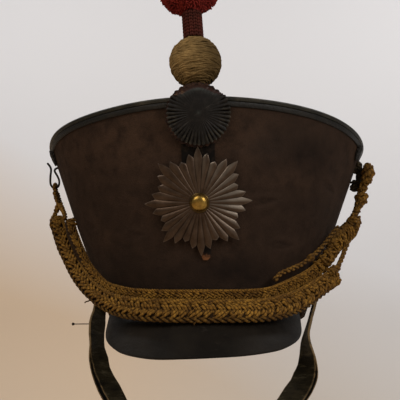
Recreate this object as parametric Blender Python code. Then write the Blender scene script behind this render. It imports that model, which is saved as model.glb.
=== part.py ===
"""A felt shako that widens to its top, with peak, pleated cockade, star, pompom, slung cords and chin strap.

Metres, +Z up. The hat faces -Y. The origin is the centre of the head opening, at the lower edge of the felt.
"""
import math

import bmesh
import bpy
from mathutils import Matrix, Vector

MM = 0.001
GAP = 0.3 * MM                     # left between pieces that touch

# Crown: the outside of the felt is an oval at every height
HEAD_HALF_WIDTH = 84.5 * MM
HEAD_HALF_LENGTH = 99.0 * MM
TOP_HALF_WIDTH = 139.0 * MM
TOP_HALF_LENGTH = 146.0 * MM
CROWN_HEIGHT = 146.4 * MM
FELT = 3.0 * MM
FELT_TOP = 142.0 * MM              # the felt stops under the leather top
LID_THICKNESS = 2.0 * MM
SEGMENTS = 52

# Peak
PEAK_TURN = 64.5                   # degrees either side of the front
PEAK_THICKNESS = 2.2 * MM
PEAK_CROWNING = 2.0 * MM           # how far the middle of its width bulges

# Cockade, star and button on the front
COCKADE_HEIGHT = 132.5 * MM
COCKADE_RADIUS = 24.0 * MM
COCKADE_PLEATS = 44
LOOP_THICKNESS = 1.6 * MM
STAR_HEIGHT = 69.5 * MM
STAR_SHEET = 0.9 * MM
STAR_BEND = 160.0 * MM
STAR_MAIN_POINTS = 8
STAR_TURN = 1.2                    # degrees: its top ray leans to the wearer's right

# Plume, along an axis that leans to the wearer's right
PLUME_FOOT = Vector((0.8, -136.5, 144.6)) * MM
PLUME_LEAN = 4.0                   # degrees
BALL_CENTRE = 34.1                 # measured up the plume's axis, mm, as the next ones
BALL_RADIUS = 20.0
STEM_RADIUS = 8.1
TUFT_CENTRE = 99.2
TUFT_RADIUS = 25.2
TUFT_LOCK = 1.3                    # depth of the hollows between the locks

# Sides
HOOK_Y = -12.0 * MM                # fore and aft
ROSETTE_Y = -34.0 * MM
ROSETTE_HEIGHT = 135.0 * MM
ROSETTE_RADIUS = 8.3 * MM
ROSETTE_TILT = 5.0                 # degrees: its top lies over the leather band
ROSETTE_LIFT = 1.2 * MM            # of its back off the felt
ROSETTE_PLEATS = 16
HOOK_WIRE = 1.6 * MM

# Cords
CORD = 3.4 * MM
BRANCH_CORD = 3.8 * MM
TWIST_RADIUS = 1.95 * MM
LOWER_PLAIT_THICKNESS = 7.0 * MM
UPPER_PLAIT_THICKNESS = 6.0 * MM
SLING_HOOK = (139.0, -12.0)        # plan position that the slung cords pull towards, mm

# Chin strap
STRAP_THICKNESS = 2.2 * MM


# ---------------------------------------------------------------- shared geometry

def lerp(a, b, t):
    return a + (b - a) * t


def half_axes(z):
    t = z / CROWN_HEIGHT
    return lerp(HEAD_HALF_WIDTH, TOP_HALF_WIDTH, t), lerp(HEAD_HALF_LENGTH, TOP_HALF_LENGTH, t)


# Places where the old felt has gone flat (minus) or pushed out (plus), fading away from each centre
DENTS = (
    # turn, height, push, spread of turn, spread of height (degrees and mm)
    (-30.0, 140.0, -1.3, 16.0, 70.0),
    (-58.0, 140.0, 1.4, 15.0, 70.0),
    (45.0, 120.0, 0.9, 18.0, 60.0),
    (-75.0, 80.0, 1.1, 22.0, 40.0),
    (150.0, 100.0, -1.6, 24.0, 50.0),
    (-120.0, 70.0, -1.2, 20.0, 40.0),
)


def dent(turn, z):
    push = 0.0
    for at, height, amount, spread, rise in DENTS:
        away = (turn - math.radians(at) + math.pi) % math.tau - math.pi
        near = (away / math.radians(spread)) ** 2 + ((z - height * MM) / (rise * MM)) ** 2
        push += amount * MM * math.exp(-near)
    return push


def wall_point(turn, z, proud=0.0):
    """Point on the outside of the crown, turned from the front towards +X and moved out level."""
    a, b = half_axes(z)
    out = Vector((b * math.sin(turn), -a * math.cos(turn), 0.0)).normalized()
    return Vector((a * math.sin(turn), -b * math.cos(turn), z)) + out * (proud + dent(turn, z))


def wall_frame(turn, z, proud):
    """Matrix whose X runs across the wall, Y up its slope and Z straight out of it."""
    step = 0.001
    across = (wall_point(turn + step, z) - wall_point(turn - step, z)).normalized()
    up = (wall_point(turn, z + step) - wall_point(turn, z - step)).normalized()
    out = across.cross(up).normalized()
    up = out.cross(across)
    place = wall_point(turn, z) + out * proud
    return Matrix.Translation(place) @ Matrix((across, up, out)).transposed().to_4x4()


def turn_at_y(y, z):
    return math.acos(-y / half_axes(z)[1])


def smooth_rows(rows, count):
    """Catmull-Rom curve through the rows, read at count even steps of its length."""
    rows = [Vector(row) for row in rows]
    ends = [rows[0] * 2 - rows[1]] + rows + [rows[-1] * 2 - rows[-2]]
    fine = []
    for before, a, b, after in zip(ends, ends[1:], ends[2:], ends[3:]):
        for k in range(16):
            t = k / 16
            fine.append(0.5 * (2 * a + (b - before) * t + (2 * before - 5 * a + 4 * b - after) * t * t
                               + (3 * a - before - 3 * b + after) * t ** 3))
    fine.append(rows[-1])
    along = [0.0]
    for p, q in zip(fine, fine[1:]):
        along.append(along[-1] + (Vector(q[:3]) - Vector(p[:3])).length)
    read = []
    at = 0
    for k in range(count):
        target = along[-1] * k / (count - 1)
        while at < len(fine) - 2 and along[at + 1] < target:
            at += 1
        t = (target - along[at]) / (along[at + 1] - along[at])
        read.append(fine[at].lerp(fine[at + 1], min(max(t, 0.0), 1.0)))
    return read


# ---------------------------------------------------------------- making objects

def material(name, colour, roughness, metallic=0.0):
    mat = bpy.data.materials.get(name)
    if mat is None:
        mat = bpy.data.materials.new(name)
        mat.use_nodes = True
        shader = mat.node_tree.nodes["Principled BSDF"]
        shader.inputs["Base Color"].default_value = (*colour, 1.0)
        shader.inputs["Roughness"].default_value = roughness
        shader.inputs["Metallic"].default_value = metallic
    return mat


def felt():
    return material("brown_black_felt", (0.020, 0.012, 0.008), 0.92)


def black_leather():
    return material("black_leather", (0.012, 0.011, 0.010), 0.5)


def gold_cord():
    return material("old_gold_cord", (0.19, 0.105, 0.022), 0.8)


def add_object(name, data, mat, parent):
    obj = bpy.data.objects.new(name, data)
    bpy.context.scene.collection.objects.link(obj)
    data.materials.append(mat)
    obj.parent = parent
    return obj


def add_mesh(name, points, faces, mat, parent, place=None):
    mesh = bpy.data.meshes.new(name)
    mesh.from_pydata([tuple(p) for p in points], [], faces)
    shape = bmesh.new()
    shape.from_mesh(mesh)
    bmesh.ops.recalc_face_normals(shape, faces=shape.faces)
    if shape.calc_volume(signed=True) < 0:
        bmesh.ops.reverse_faces(shape, faces=shape.faces)
    shape.to_mesh(mesh)
    shape.free()
    mesh.shade_smooth()
    mesh.set_sharp_from_angle(angle=math.radians(40))
    obj = add_object(name, mesh, mat, parent)
    if place is not None:
        obj.matrix_world = place
    return obj


def loft(sections, closed_ends=True, ring=False):
    """Points and faces of a skin through equal sections; ring joins the last section to the first."""
    size = len(sections[0])
    points = [p for section in sections for p in section]
    faces = []
    joins = len(sections) if ring else len(sections) - 1
    for i in range(joins):
        here = i * size
        there = (i + 1) % len(sections) * size
        for k in range(size):
            n = (k + 1) % size
            faces.append((here + k, here + n, there + n, there + k))
    if closed_ends and not ring:
        faces.append(tuple(range(size))[::-1])
        faces.append(tuple(range(len(points) - size, len(points))))
    return points, faces


def oval_ring(name, section, mat, parent):
    """A ring round the crown whose section is rows of (out from the felt, height) in mm."""
    sections = []
    for k in range(SEGMENTS):
        turn = math.tau * k / SEGMENTS
        sections.append([wall_point(turn, z * MM, out * MM) for out, z in section])
    points, faces = loft(sections, ring=True)
    return add_mesh(name, points, faces, mat, parent)


def turned(name, profile, mat, parent, place, sides=20):
    """A body turned about its Z axis; the profile, in mm, starts and ends on the axis, from top to bottom."""
    profile = [(radius * MM, z * MM) for radius, z in profile]
    points = [Vector((0.0, 0.0, profile[0][1]))]
    for radius, z in profile[1:-1]:
        for k in range(sides):
            angle = math.tau * k / sides
            points.append(Vector((radius * math.cos(angle), radius * math.sin(angle), z)))
    points.append(Vector((0.0, 0.0, profile[-1][1])))
    faces = []
    rings = len(profile) - 2
    last = len(points) - 1
    for k in range(sides):
        n = (k + 1) % sides
        faces.append((0, 1 + k, 1 + n))
        for r in range(rings - 1):
            here = 1 + r * sides
            faces.append((here + k, here + sides + k, here + sides + n, here + n))
        low = 1 + (rings - 1) * sides
        faces.append((low + k, last, low + n))
    return add_mesh(name, points, faces, mat, parent, place)


def pleated_disc(name, radius, pleats, rows, mat, parent, place, notch=0.96):
    """A disc of radial pleats on a flat back; notch is the reach of the valleys at the rim."""
    around = pleats * 2
    points = [Vector((0.0, 0.0, rows[0][1] * MM))]
    for share, height, depth in rows[1:]:
        for k in range(around):
            angle = math.tau * k / around
            ridge = k % 2 == 0
            reach = radius * share * (1.0 if ridge or share < 1.0 else notch)
            lift = height + (depth if ridge else -depth)
            points.append(Vector((reach * math.cos(angle), reach * math.sin(angle), lift * MM)))
    rings = len(rows) - 1
    faces = []
    for k in range(around):
        n = (k + 1) % around
        faces.append((0, 1 + k, 1 + n))
        for r in range(rings - 1):
            here = 1 + r * around
            faces.append((here + k, here + around + k, here + around + n, here + n))
    outer = 1 + (rings - 1) * around
    back = len(points)
    points += [Vector((points[outer + k].x, points[outer + k].y, 0.0)) for k in range(around)]
    centre = len(points)
    points.append(Vector((0.0, 0.0, 0.0)))
    for k in range(around):
        n = (k + 1) % around
        faces.append((outer + k, back + k, back + n, outer + n))
        faces.append((back + k, centre, back + n))
    return add_mesh(name, points, faces, mat, parent, place)


def wire(name, path, diameter, mat, parent, resolution=2):
    """A round wire or cord along a list of points, with closed ends."""
    curve = bpy.data.curves.new(name, "CURVE")
    curve.dimensions = "3D"
    curve.bevel_depth = diameter / 2
    curve.bevel_resolution = resolution
    curve.use_fill_caps = True
    spline = curve.splines.new("POLY")
    spline.points.add(len(path) - 1)
    for point, at in zip(spline.points, path):
        point.co = (*at[:3], 1.0)
    return add_object(name, curve, mat, parent)


# ---------------------------------------------------------------- crown

# Sections of the rings round the crown: out from the outside of the felt, height (mm)
WALL_SECTION = (
    (0.0, 0.0), (0.0, 30.0), (0.0, 60.0), (0.0, 90.0), (0.0, 118.0), (0.0, FELT_TOP / MM),
    (-FELT / MM, FELT_TOP / MM), (-FELT / MM, 90.0), (-FELT / MM, 45.0), (-FELT / MM, 0.0),
)
BAND_SECTION = ((0.3, 139.2), (1.4, 139.4), (1.5, 142.6), (0.3, 143.0))
BINDING_SECTION = (
    (0.3, 143.3), (1.7, 143.4), (2.1, 144.8), (1.2, 146.1),
    (-0.4, 146.4), (-2.1, 145.9), (-2.4, 144.6), (0.3, 144.6),
)


def make_crown(parent):
    oval_ring("crown_wall", WALL_SECTION, felt(), parent)
    oval_ring("top_band", BAND_SECTION, black_leather(), parent)
    binding = material("rolled_binding", (0.014, 0.016, 0.012), 0.4)
    oval_ring("rim_binding", BINDING_SECTION, binding, parent)
    make_lid(parent)


LID_RINGS = (
    # share of the top's half axes, sag of the old leather (mm)
    (1.0, 0.0),
    (0.955, 0.0),
    (0.75, 1.8),
    (0.4, 3.8),
)
LID_SAG = 4.4 * MM


def make_lid(parent):
    under = FELT_TOP + GAP
    top = under + LID_THICKNESS
    points = []
    for level in (top, under):
        for share, sag in LID_RINGS:
            for k in range(SEGMENTS):
                edge = wall_point(math.tau * k / SEGMENTS, under)
                points.append(Vector((edge.x * share, edge.y * share, level - sag * MM)))
    top_centre = len(points)
    points += [Vector((0, 0, top - LID_SAG)), Vector((0, 0, under - LID_SAG))]
    rings = len(LID_RINGS)
    faces = []
    for side in range(2):
        base = side * rings * SEGMENTS
        for k in range(SEGMENTS):
            n = (k + 1) % SEGMENTS
            for r in range(rings - 1):
                here = base + r * SEGMENTS
                quad = (here + k, here + n, here + SEGMENTS + n, here + SEGMENTS + k)
                faces.append(quad if side == 0 else quad[::-1])
            inner = base + (rings - 1) * SEGMENTS
            fan = (inner + k, inner + n, top_centre + side)
            faces.append(fan if side == 0 else fan[::-1])
    for k in range(SEGMENTS):
        n = (k + 1) % SEGMENTS
        faces.append((n, k, rings * SEGMENTS + k, rings * SEGMENTS + n))
    add_mesh("crown_top", points, faces, black_leather(), parent)


PEAK_EDGE = (
    # turn from the front (degrees), reach forward, drop of the outer edge on the -X and the +X side (mm)
    (0.0, 38.0, 45.6, 45.6),
    (20.0, 37.0, 46.0, 43.6),
    (38.0, 33.0, 40.0, 38.4),
    (50.0, 26.0, 31.0, 31.4),
    (58.0, 18.0, 23.4, 24.4),
    (62.5, 11.5, 16.6, 17.6),
    (PEAK_TURN, 6.0, 10.4, 11.4),
)
PEAK_COLUMNS = 24
PEAK_ROWS = 4
PEAK_SPREAD = 0.35                 # how far the reach splays sideways at the ends


def peak_edge(turn):
    """Outer edge of the peak's top face at a turn in degrees."""
    side = 2 if turn < 0 else 3
    for near, far in zip(PEAK_EDGE, PEAK_EDGE[1:]):
        if abs(turn) <= far[0]:
            t = (abs(turn) - near[0]) / (far[0] - near[0])
            reach = lerp(near[1], far[1], t)
            drop = lerp(near[side], far[side], t)
            break
    splay = PEAK_SPREAD * math.sin(math.radians(turn))
    root = wall_point(math.radians(turn), 0.0)
    forward = Vector((splay, -math.sqrt(1 - splay ** 2), 0.0))
    return root, root + forward * reach * MM + Vector((0, 0, -drop * MM))


def peak_point(u, v):
    """Point on the peak's top face; u runs from -1 to 1 across, v from the crown to the outer edge."""
    turn = PEAK_TURN * math.sin(u * math.pi / 2)
    root, edge = peak_edge(turn)
    chord = edge - root
    level = Vector((chord.x, chord.y, 0.0)).normalized()
    bulge = (level * abs(chord.z) + Vector((0, 0, 1)) * math.hypot(chord.x, chord.y)).normalized()
    return root + chord * v + bulge * PEAK_CROWNING * math.sin(math.pi * v) + Vector((0, 0, -GAP))


def make_peak(parent):
    top = []
    under = []
    for i in range(PEAK_COLUMNS + 1):
        u = -1 + 2 * i / PEAK_COLUMNS
        for j in range(PEAK_ROWS + 1):
            v = j / PEAK_ROWS
            here = peak_point(u, v)
            step = 0.02
            across = peak_point(min(u + step, 1), v) - peak_point(max(u - step, -1), v)
            down = peak_point(u, min(v + step, 1)) - peak_point(u, max(v - step, 0))
            normal = down.cross(across).normalized()
            top.append(here)
            under.append(here - normal * PEAK_THICKNESS)
    size = PEAK_ROWS + 1
    shift = len(top)
    faces = []
    for i in range(PEAK_COLUMNS):
        for j in range(PEAK_ROWS):
            a = i * size + j
            quad = (a, a + 1, a + size + 1, a + size)
            faces.append(quad)
            faces.append(tuple(shift + q for q in quad[::-1]))
    rim = [i * size for i in range(PEAK_COLUMNS + 1)]
    rim += [PEAK_COLUMNS * size + j for j in range(1, size)]
    rim += [i * size + PEAK_ROWS for i in range(PEAK_COLUMNS - 1, -1, -1)]
    rim += [j for j in range(PEAK_ROWS - 1, 0, -1)]
    for a, b in zip(rim, rim[1:] + rim[:1]):
        faces.append((a, b, shift + b, shift + a))
    add_mesh("peak", top + under, faces, material("peak_leather", (0.016, 0.014, 0.014), 0.45), parent)


# ---------------------------------------------------------------- front plate and plume

LOOP_LIFT = 0.4 * MM               # of the strap off the felt
LOOP_ROWS = (
    # height, middle of the strap from the centre line, half of its width (mm)
    (138.6, 0.5, 12.5),
    (120.0, 0.5, 12.5),
    (98.0, 0.5, 12.3),
    (76.0, 0.5, 12.3),
    (62.0, 1.8, 8.5),
    (46.0, 3.8, 3.6),
    (35.5, 4.4, 3.0),
    (31.0, 4.6, 1.2),
)


def make_cockade_loop(parent):
    """Leather strap laid on the felt, wide under the cockade and cut to a tip under the star."""
    sections = []
    shares = (-1.0, -0.35, 0.35, 1.0)
    for z, middle, half in LOOP_ROWS:
        width = half_axes(z * MM)[0]
        under = []
        over = []
        for share in shares:
            turn = (middle + half * share) * MM / width
            place = wall_frame(turn, z * MM, LOOP_LIFT)
            under.append(place.translation.copy())
            over.append(place @ Vector((0, 0, LOOP_THICKNESS)))
        sections.append(under + over[::-1])
    points, faces = loft(sections)
    add_mesh("cockade_loop", points, faces, black_leather(), parent)


# Pleated discs: share of the radius, height, depth of the pleats (mm)
COCKADE_FRONT_ROWS = ((0, 5.2, 0), (0.28, 5.1, 0.06), (0.62, 4.2, 0.45), (1.0, 2.1, 0.6))
COCKADE_BACK_ROWS = ((0, 1.1, 0), (1.0, 1.1, 0.1))
ROSETTE_ROWS = ((0, 2.8, 0), (0.5, 2.5, 0.2), (1.0, 1.4, 0.35))
COCKADE_BACK_RADIUS = 24.4 * MM
COCKADE_BACK_RAISE = 1.4 * MM      # it shows above the front one
COCKADE_BACK_LIFT = 2.6 * MM       # of each disc's back off the felt
COCKADE_FRONT_LIFT = 4.2 * MM
COCKADE_BACK_SCALLOPS = 30
COCKADE_OFFSET = math.radians(0.3)


def pleated_leather():
    return material("pleated_leather", (0.009, 0.008, 0.007), 0.42)


def make_cockade(parent):
    place = wall_frame(0.0, COCKADE_HEIGHT + COCKADE_BACK_RAISE, COCKADE_BACK_LIFT)
    worn = material("worn_leather", (0.035, 0.018, 0.011), 0.7)
    pleated_disc("cockade_back", COCKADE_BACK_RADIUS, COCKADE_BACK_SCALLOPS, COCKADE_BACK_ROWS, worn, parent, place,
                 notch=0.965)
    place = wall_frame(COCKADE_OFFSET, COCKADE_HEIGHT, COCKADE_FRONT_LIFT)
    pleated_disc("cockade_front", COCKADE_RADIUS, COCKADE_PLEATS, COCKADE_FRONT_ROWS, pleated_leather(), parent,
                 place)


STAR_CYCLE = (
    # reach of one ray and of the notch after it (mm); the four rays repeat between the main points
    (42.8, 32.4),
    (37.4, 29.6),
    (33.2, 29.6),
    (37.4, 32.4),
)
STAR_INNER = 9.0 * MM
STAR_MIDDLE = 21.0 * MM
RIDGE_LIFT = (1.5 * MM, 2.3 * MM, 1.9 * MM, 0.7 * MM)     # inner, middle, at the notches, tip
VALLEY_LIFT = (1.2 * MM, 0.9 * MM, 0.7 * MM)              # inner, middle, at the notches
SHOULDER_LIFT = 0.8 * MM
SHOULDER_SHARE = 0.45              # of the way from the notches to the tip
SHOULDER_SPREAD = 0.30             # of the step from ray to ray
STAR_LIFT = 2.5 * MM               # of the sheet off the felt
BUTTON_PROFILE = (
    # radius, height over the star's underside (mm)
    (0, 7.4), (3.0, 7.0), (4.9, 5.9), (5.9, 4.2), (6.0, 3.2), (8.0, 2.7), (8.0, 1.9), (0, 1.9),
)


def make_star(parent):
    """A stamped sheet with a ridge down each of its rays, bent a little round the crown."""
    rays = len(STAR_CYCLE) * STAR_MAIN_POINTS
    step = math.tau / rays
    columns = []
    for k in range(rays):
        reach, notch = (size * MM for size in STAR_CYCLE[k % len(STAR_CYCLE)])
        before = STAR_CYCLE[(k - 1) % len(STAR_CYCLE)][1] * MM
        angle = math.pi / 2 - k * step
        shoulder = lerp(max(notch, before), reach, SHOULDER_SHARE)
        spread = step * SHOULDER_SPREAD
        columns.append({
            "ridge": [(STAR_INNER, angle, RIDGE_LIFT[0]), (STAR_MIDDLE, angle, RIDGE_LIFT[1]),
                      (min(notch, before), angle, RIDGE_LIFT[2]), (reach, angle, RIDGE_LIFT[3])],
            "left": (shoulder, angle + spread, SHOULDER_LIFT),
            "right": (shoulder, angle - spread, SHOULDER_LIFT),
            "valley": [(STAR_INNER, angle - step / 2, VALLEY_LIFT[0]),
                       (STAR_MIDDLE, angle - step / 2, VALLEY_LIFT[1]), (notch, angle - step / 2, VALLEY_LIFT[2])],
        })

    points = [bent(0.0, 0.0, RIDGE_LIFT[0])]
    names = []
    for column in columns:
        at = {}
        for key in ("ridge", "left", "right", "valley"):
            rows = column[key] if isinstance(column[key], list) else [column[key]]
            at[key] = list(range(len(points), len(points) + len(rows)))
            points += [bent(r * math.cos(a), r * math.sin(a), lift) for r, a, lift in rows]
        names.append(at)
    faces = []
    outline = []
    for k, at in enumerate(names):
        left = names[k - 1]["valley"]
        right = at["valley"]
        ridge = at["ridge"]
        faces += [(0, left[0], ridge[0]), (0, ridge[0], right[0])]
        faces += [(left[0], left[1], ridge[1], ridge[0]), (ridge[0], ridge[1], right[1], right[0])]
        faces += [(left[1], left[2], ridge[2], ridge[1]), (ridge[1], ridge[2], right[2], right[1])]
        faces += [(left[2], at["left"][0], ridge[2]), (ridge[2], at["right"][0], right[2])]
        faces += [(at["left"][0], ridge[3], ridge[2]), (ridge[2], ridge[3], at["right"][0])]
        outline += [left[2], at["left"][0], ridge[3], at["right"][0]]
    shift = len(points)
    points += [p - Vector((0, 0, STAR_SHEET)) for p in points]
    faces += [tuple(shift + q for q in face[::-1]) for face in list(faces)]
    for a, b in zip(outline, outline[1:] + outline[:1]):
        faces.append((a, b, shift + b, shift + a))
    place = wall_frame(0.0, STAR_HEIGHT, STAR_LIFT) @ Matrix.Rotation(math.radians(STAR_TURN), 4, "Z")
    metal = material("blackened_metal", (0.045, 0.033, 0.026), 0.42, 0.8)
    add_mesh("star_plate", points, faces, metal, parent, place)
    brass = material("old_brass", (0.30, 0.19, 0.045), 0.3, 1.0)
    turned("star_button", BUTTON_PROFILE, brass, parent, place)


def bent(x, y, lift):
    turn = x / STAR_BEND
    return Vector((STAR_BEND * math.sin(turn), y, lift - STAR_BEND * (1 - math.cos(turn))))


# Plume: radius and height up its axis (mm)
SOCKET_PROFILE = ((0, 13.6), (8.4, 13.6), (8.7, 12.4), (8.6, 5.6), (6.2, 3.4), (5.9, 1.2), (0, 1.2))
BALL_ROWS = 11
STEM_EDGE = 6.48                   # radius of its rounded ends
STEM_ROUND = 1.2                   # height of the rounding
STEM_GAP = 0.45                    # to the ball and the tuft, round its ends


def make_plume(parent):
    lean = Matrix.Rotation(math.radians(-PLUME_LEAN), 4, "Y")
    foot = Matrix.Translation(PLUME_FOOT) @ lean
    turned("pompom_socket", SOCKET_PROFILE, black_leather(), parent, foot, sides=16)

    ball = [(0.0, BALL_CENTRE + BALL_RADIUS)]
    for k in range(1, BALL_ROWS):
        tilt = math.pi * k / BALL_ROWS
        ball.append((BALL_RADIUS * math.sin(tilt), BALL_CENTRE + BALL_RADIUS * math.cos(tilt)))
    ball.append((0.0, BALL_CENTRE - BALL_RADIUS))
    turned("pompom_ball", ball, material("khaki_wool", (0.13, 0.095, 0.038), 0.9), parent, foot)

    low = BALL_CENTRE + math.sqrt(BALL_RADIUS ** 2 - STEM_EDGE ** 2) + STEM_GAP
    high = TUFT_CENTRE - math.sqrt(TUFT_RADIUS ** 2 - STEM_EDGE ** 2) - STEM_GAP
    stem = ((0, TUFT_CENTRE - TUFT_RADIUS - GAP / MM), (STEM_EDGE, high), (STEM_RADIUS, high - STEM_ROUND),
            (STEM_RADIUS, low + STEM_ROUND), (STEM_EDGE, low), (0, BALL_CENTRE + BALL_RADIUS + GAP / MM))
    turned("pompom_stem", stem, material("dark_red_knit", (0.055, 0.006, 0.010), 0.85), parent, foot, sides=16)

    shape = bmesh.new()
    bmesh.ops.create_icosphere(shape, subdivisions=3, radius=TUFT_RADIUS * MM)
    bmesh.ops.poke(shape, faces=shape.faces, offset=-TUFT_LOCK * MM)
    bmesh.ops.translate(shape, verts=shape.verts, vec=(0, 0, TUFT_CENTRE * MM))
    mesh = bpy.data.meshes.new("pompom_tuft")
    shape.to_mesh(mesh)
    shape.free()
    tuft = add_object("pompom_tuft", mesh, material("red_wool", (0.17, 0.010, 0.012), 0.9), parent)
    tuft.matrix_world = foot


# ---------------------------------------------------------------- sides

HOOK_PATH = (
    # outwards from the middle of the hat, height (mm): from the felt, round the bend, to the free tip
    (135.2, 133.4),
    (136.6, 132.4),
    (136.7, 130.4),
    (134.8, 127.2),
    (132.7, 123.0),
    (132.2, 119.4),
    (133.0, 116.4),
    (135.6, 115.0),
    (138.4, 116.0),
    (140.2, 119.6),
    (140.5, 126.0),
    (140.2, 132.0),
    (141.4, 135.4),
    (144.0, 138.6),
)


def iron_wire():
    return material("dark_iron_wire", (0.03, 0.022, 0.015), 0.5, 0.7)


def make_sides(parent):
    for name, side in (("left", -1), ("right", 1)):
        turn = side * turn_at_y(ROSETTE_Y, ROSETTE_HEIGHT)
        tilt = Matrix.Rotation(math.radians(ROSETTE_TILT), 4, "X")
        place = wall_frame(turn, ROSETTE_HEIGHT, ROSETTE_LIFT) @ tilt
        pleated_disc("side_rosette_" + name, ROSETTE_RADIUS, ROSETTE_PLEATS, ROSETTE_ROWS, pleated_leather(), parent,
                     place)
        path = smooth_rows([(side * x * MM, HOOK_Y, z * MM) for x, z in HOOK_PATH], 20)
        wire("hook_" + name, path, HOOK_WIRE, iron_wire(), parent, 1)


# ---------------------------------------------------------------- slung cords

def sling_depth(x, half_width, half_length):
    """Depth in plan of a cord that lies round the front and pulls straight to the hooks (mm)."""
    hook_x, hook_y = SLING_HOOK
    low, high = 0.0, half_width - 0.01
    for _ in range(40):
        at = (low + high) / 2
        root = math.sqrt(1 - (at / half_width) ** 2)
        slope = half_length * at / half_width ** 2 / root
        if slope < (hook_y + half_length * root) / (hook_x - at):
            low = at
        else:
            high = at
    leave_y = -half_length * math.sqrt(1 - (low / half_width) ** 2)
    x = abs(x)
    if x <= low:
        return -half_length * math.sqrt(1 - (x / half_width) ** 2)
    return leave_y + (x - low) * (hook_y - leave_y) / (hook_x - low)


LOWER_ROWS = (
    # x, height, width of the plait, lean of its top towards the hat (mm and degrees)
    (-132.0, 84.2, 12.0, 48),
    (-129.4, 78.6, 13.6, 49),
    (-125.8, 70.0, 14.2, 50),
    (-120.3, 58.1, 14.8, 47),
    (-112.6, 44.2, 14.6, 43),
    (-102.0, 27.4, 14.4, 36),
    (-88.9, 13.2, 14.6, 29),
    (-71.2, 0.6, 16.0, 25),
    (-50.0, -6.6, 18.4, 25),
    (-22.0, -10.2, 19.4, 26),
    (22.0, -10.8, 19.4, 26),
    (52.5, -7.8, 18.8, 24),
    (75.0, 1.5, 17.5, 18),
    (94.0, 15.6, 15.8, 10),
    (104.0, 23.4, 15.0, 4),
    (111.6, 27.4, 13.0, 0),
)
LOWER_SWEEP = (102.2, 117.8)       # half width and half length of the oval that it lies round (mm)

UPPER_ROWS = (
    (-115.6, 81.0, 7.6, 30),
    (-112.6, 70.4, 8.0, 40),
    (-107.4, 58.3, 7.8, 46),
    (-101.8, 47.5, 7.6, 42),
    (-94.6, 35.8, 7.0, 34),
    (-83.0, 22.8, 7.0, 16),
    (-71.8, 14.4, 8.0, 2),
    (-45.0, 6.2, 8.0, -12),
    (0.0, 2.9, 8.2, -16),
    (45.0, 5.4, 8.4, -12),
    (66.5, 14.0, 9.5, -6),
    (85.0, 25.5, 11.5, 0),
    (100.5, 41.0, 11.5, 0),
    (111.0, 55.0, 11.0, 0),
    (119.6, 65.5, 15.0, 0),
    (126.2, 73.6, 16.5, 0),
    (129.4, 84.0, 9.5, 0),
)
UPPER_SWEEP = (93.0, 107.5)
PLAIT_SIDES = 10
PLAIT_SECTIONS = 40
PLAIT_ENDS = (0.62, 0.9)           # share of the full section at the first and second from each end


def make_plait(name, rows, sweep, thickness, parent):
    """A flat plait of gold cord as one rounded body along its hanging curve."""
    rows = [(x, sling_depth(x, *sweep), z, width, lean) for x, z, width, lean in rows]
    read = smooth_rows(rows, PLAIT_SECTIONS)
    line = [Vector(row[:3]) * MM for row in read]
    sections = []
    for i, row in enumerate(read):
        here = line[i]
        along = (line[min(i + 1, len(line) - 1)] - line[max(i - 1, 0)]).normalized()
        x = row[0]
        slope = sling_depth(x + 1, *sweep) - sling_depth(x - 1, *sweep)
        out = Vector((slope, -2.0, 0)).normalized()
        out = (out - along * out.dot(along)).normalized()
        up = out.cross(along).normalized()
        tip = Matrix.Rotation(-math.radians(row[4]), 3, along)
        out = tip @ out
        up = tip @ up
        ends = min(i, len(read) - 1 - i)
        fill = PLAIT_ENDS[ends] if ends < len(PLAIT_ENDS) else 1.0
        ring = []
        for k in range(PLAIT_SIDES):
            angle = math.tau * (k + 0.5) / PLAIT_SIDES
            ring.append(here + out * math.cos(angle) * thickness / 2 * fill
                        + up * math.sin(angle) * row[3] * MM / 2 * fill)
        sections.append(ring)
    points, faces = loft(sections)
    add_mesh(name, points, faces, gold_cord(), parent)


CORD_LEFT_OUTER = ((-134.6, -16.4, 86.6), (-133.2, -17.6, 90.0), (-131.6, -19.0, 93.4))
CORD_LEFT_INNER = ((-126.4, -23.4, 94.0), (-122.5, -27.0, 90.0), (-117.2, -31.0, 83.6))
OVER_HOOK = ((-3.1, 114.6), (-2.4, 117.4), (0.0, 118.4), (2.4, 117.4), (3.1, 114.6))  # from the wire, height
OVER_HOOK_X = -135.6
CORD_LEFT_POINTS = 44
TWIST_FROM = Vector((-129.0, -21.2, 97.0))
TWIST_TO = Vector((-135.2, -12.6, 112.0))
TWIST_TURNS = 1.0
TWIST_STEPS = 12


def twisted_leg(phase):
    """One of the two legs that twist round each other under the hook, from the bottom up (mm)."""
    leg = []
    for k in range(TWIST_STEPS + 1):
        share = k / TWIST_STEPS
        angle = phase + math.tau * TWIST_TURNS * (share - 1)
        round_it = Vector((math.cos(angle), math.sin(angle), 0)) * TWIST_RADIUS / MM
        leg.append(TWIST_FROM.lerp(TWIST_TO, share) + round_it)
    return leg


def make_cord_left(parent):
    front_leg = twisted_leg(-math.pi / 2)
    rear_leg = twisted_leg(math.pi / 2)
    over_hook = [Vector((OVER_HOOK_X, HOOK_Y / MM + y, z)) for y, z in OVER_HOOK]
    route = [Vector(p) for p in CORD_LEFT_OUTER] + front_leg[1:] + over_hook
    route += rear_leg[:0:-1] + [Vector(p) for p in CORD_LEFT_INNER]
    wire("cord_left", smooth_rows([p * MM for p in route], CORD_LEFT_POINTS), CORD, gold_cord(), parent)


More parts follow.
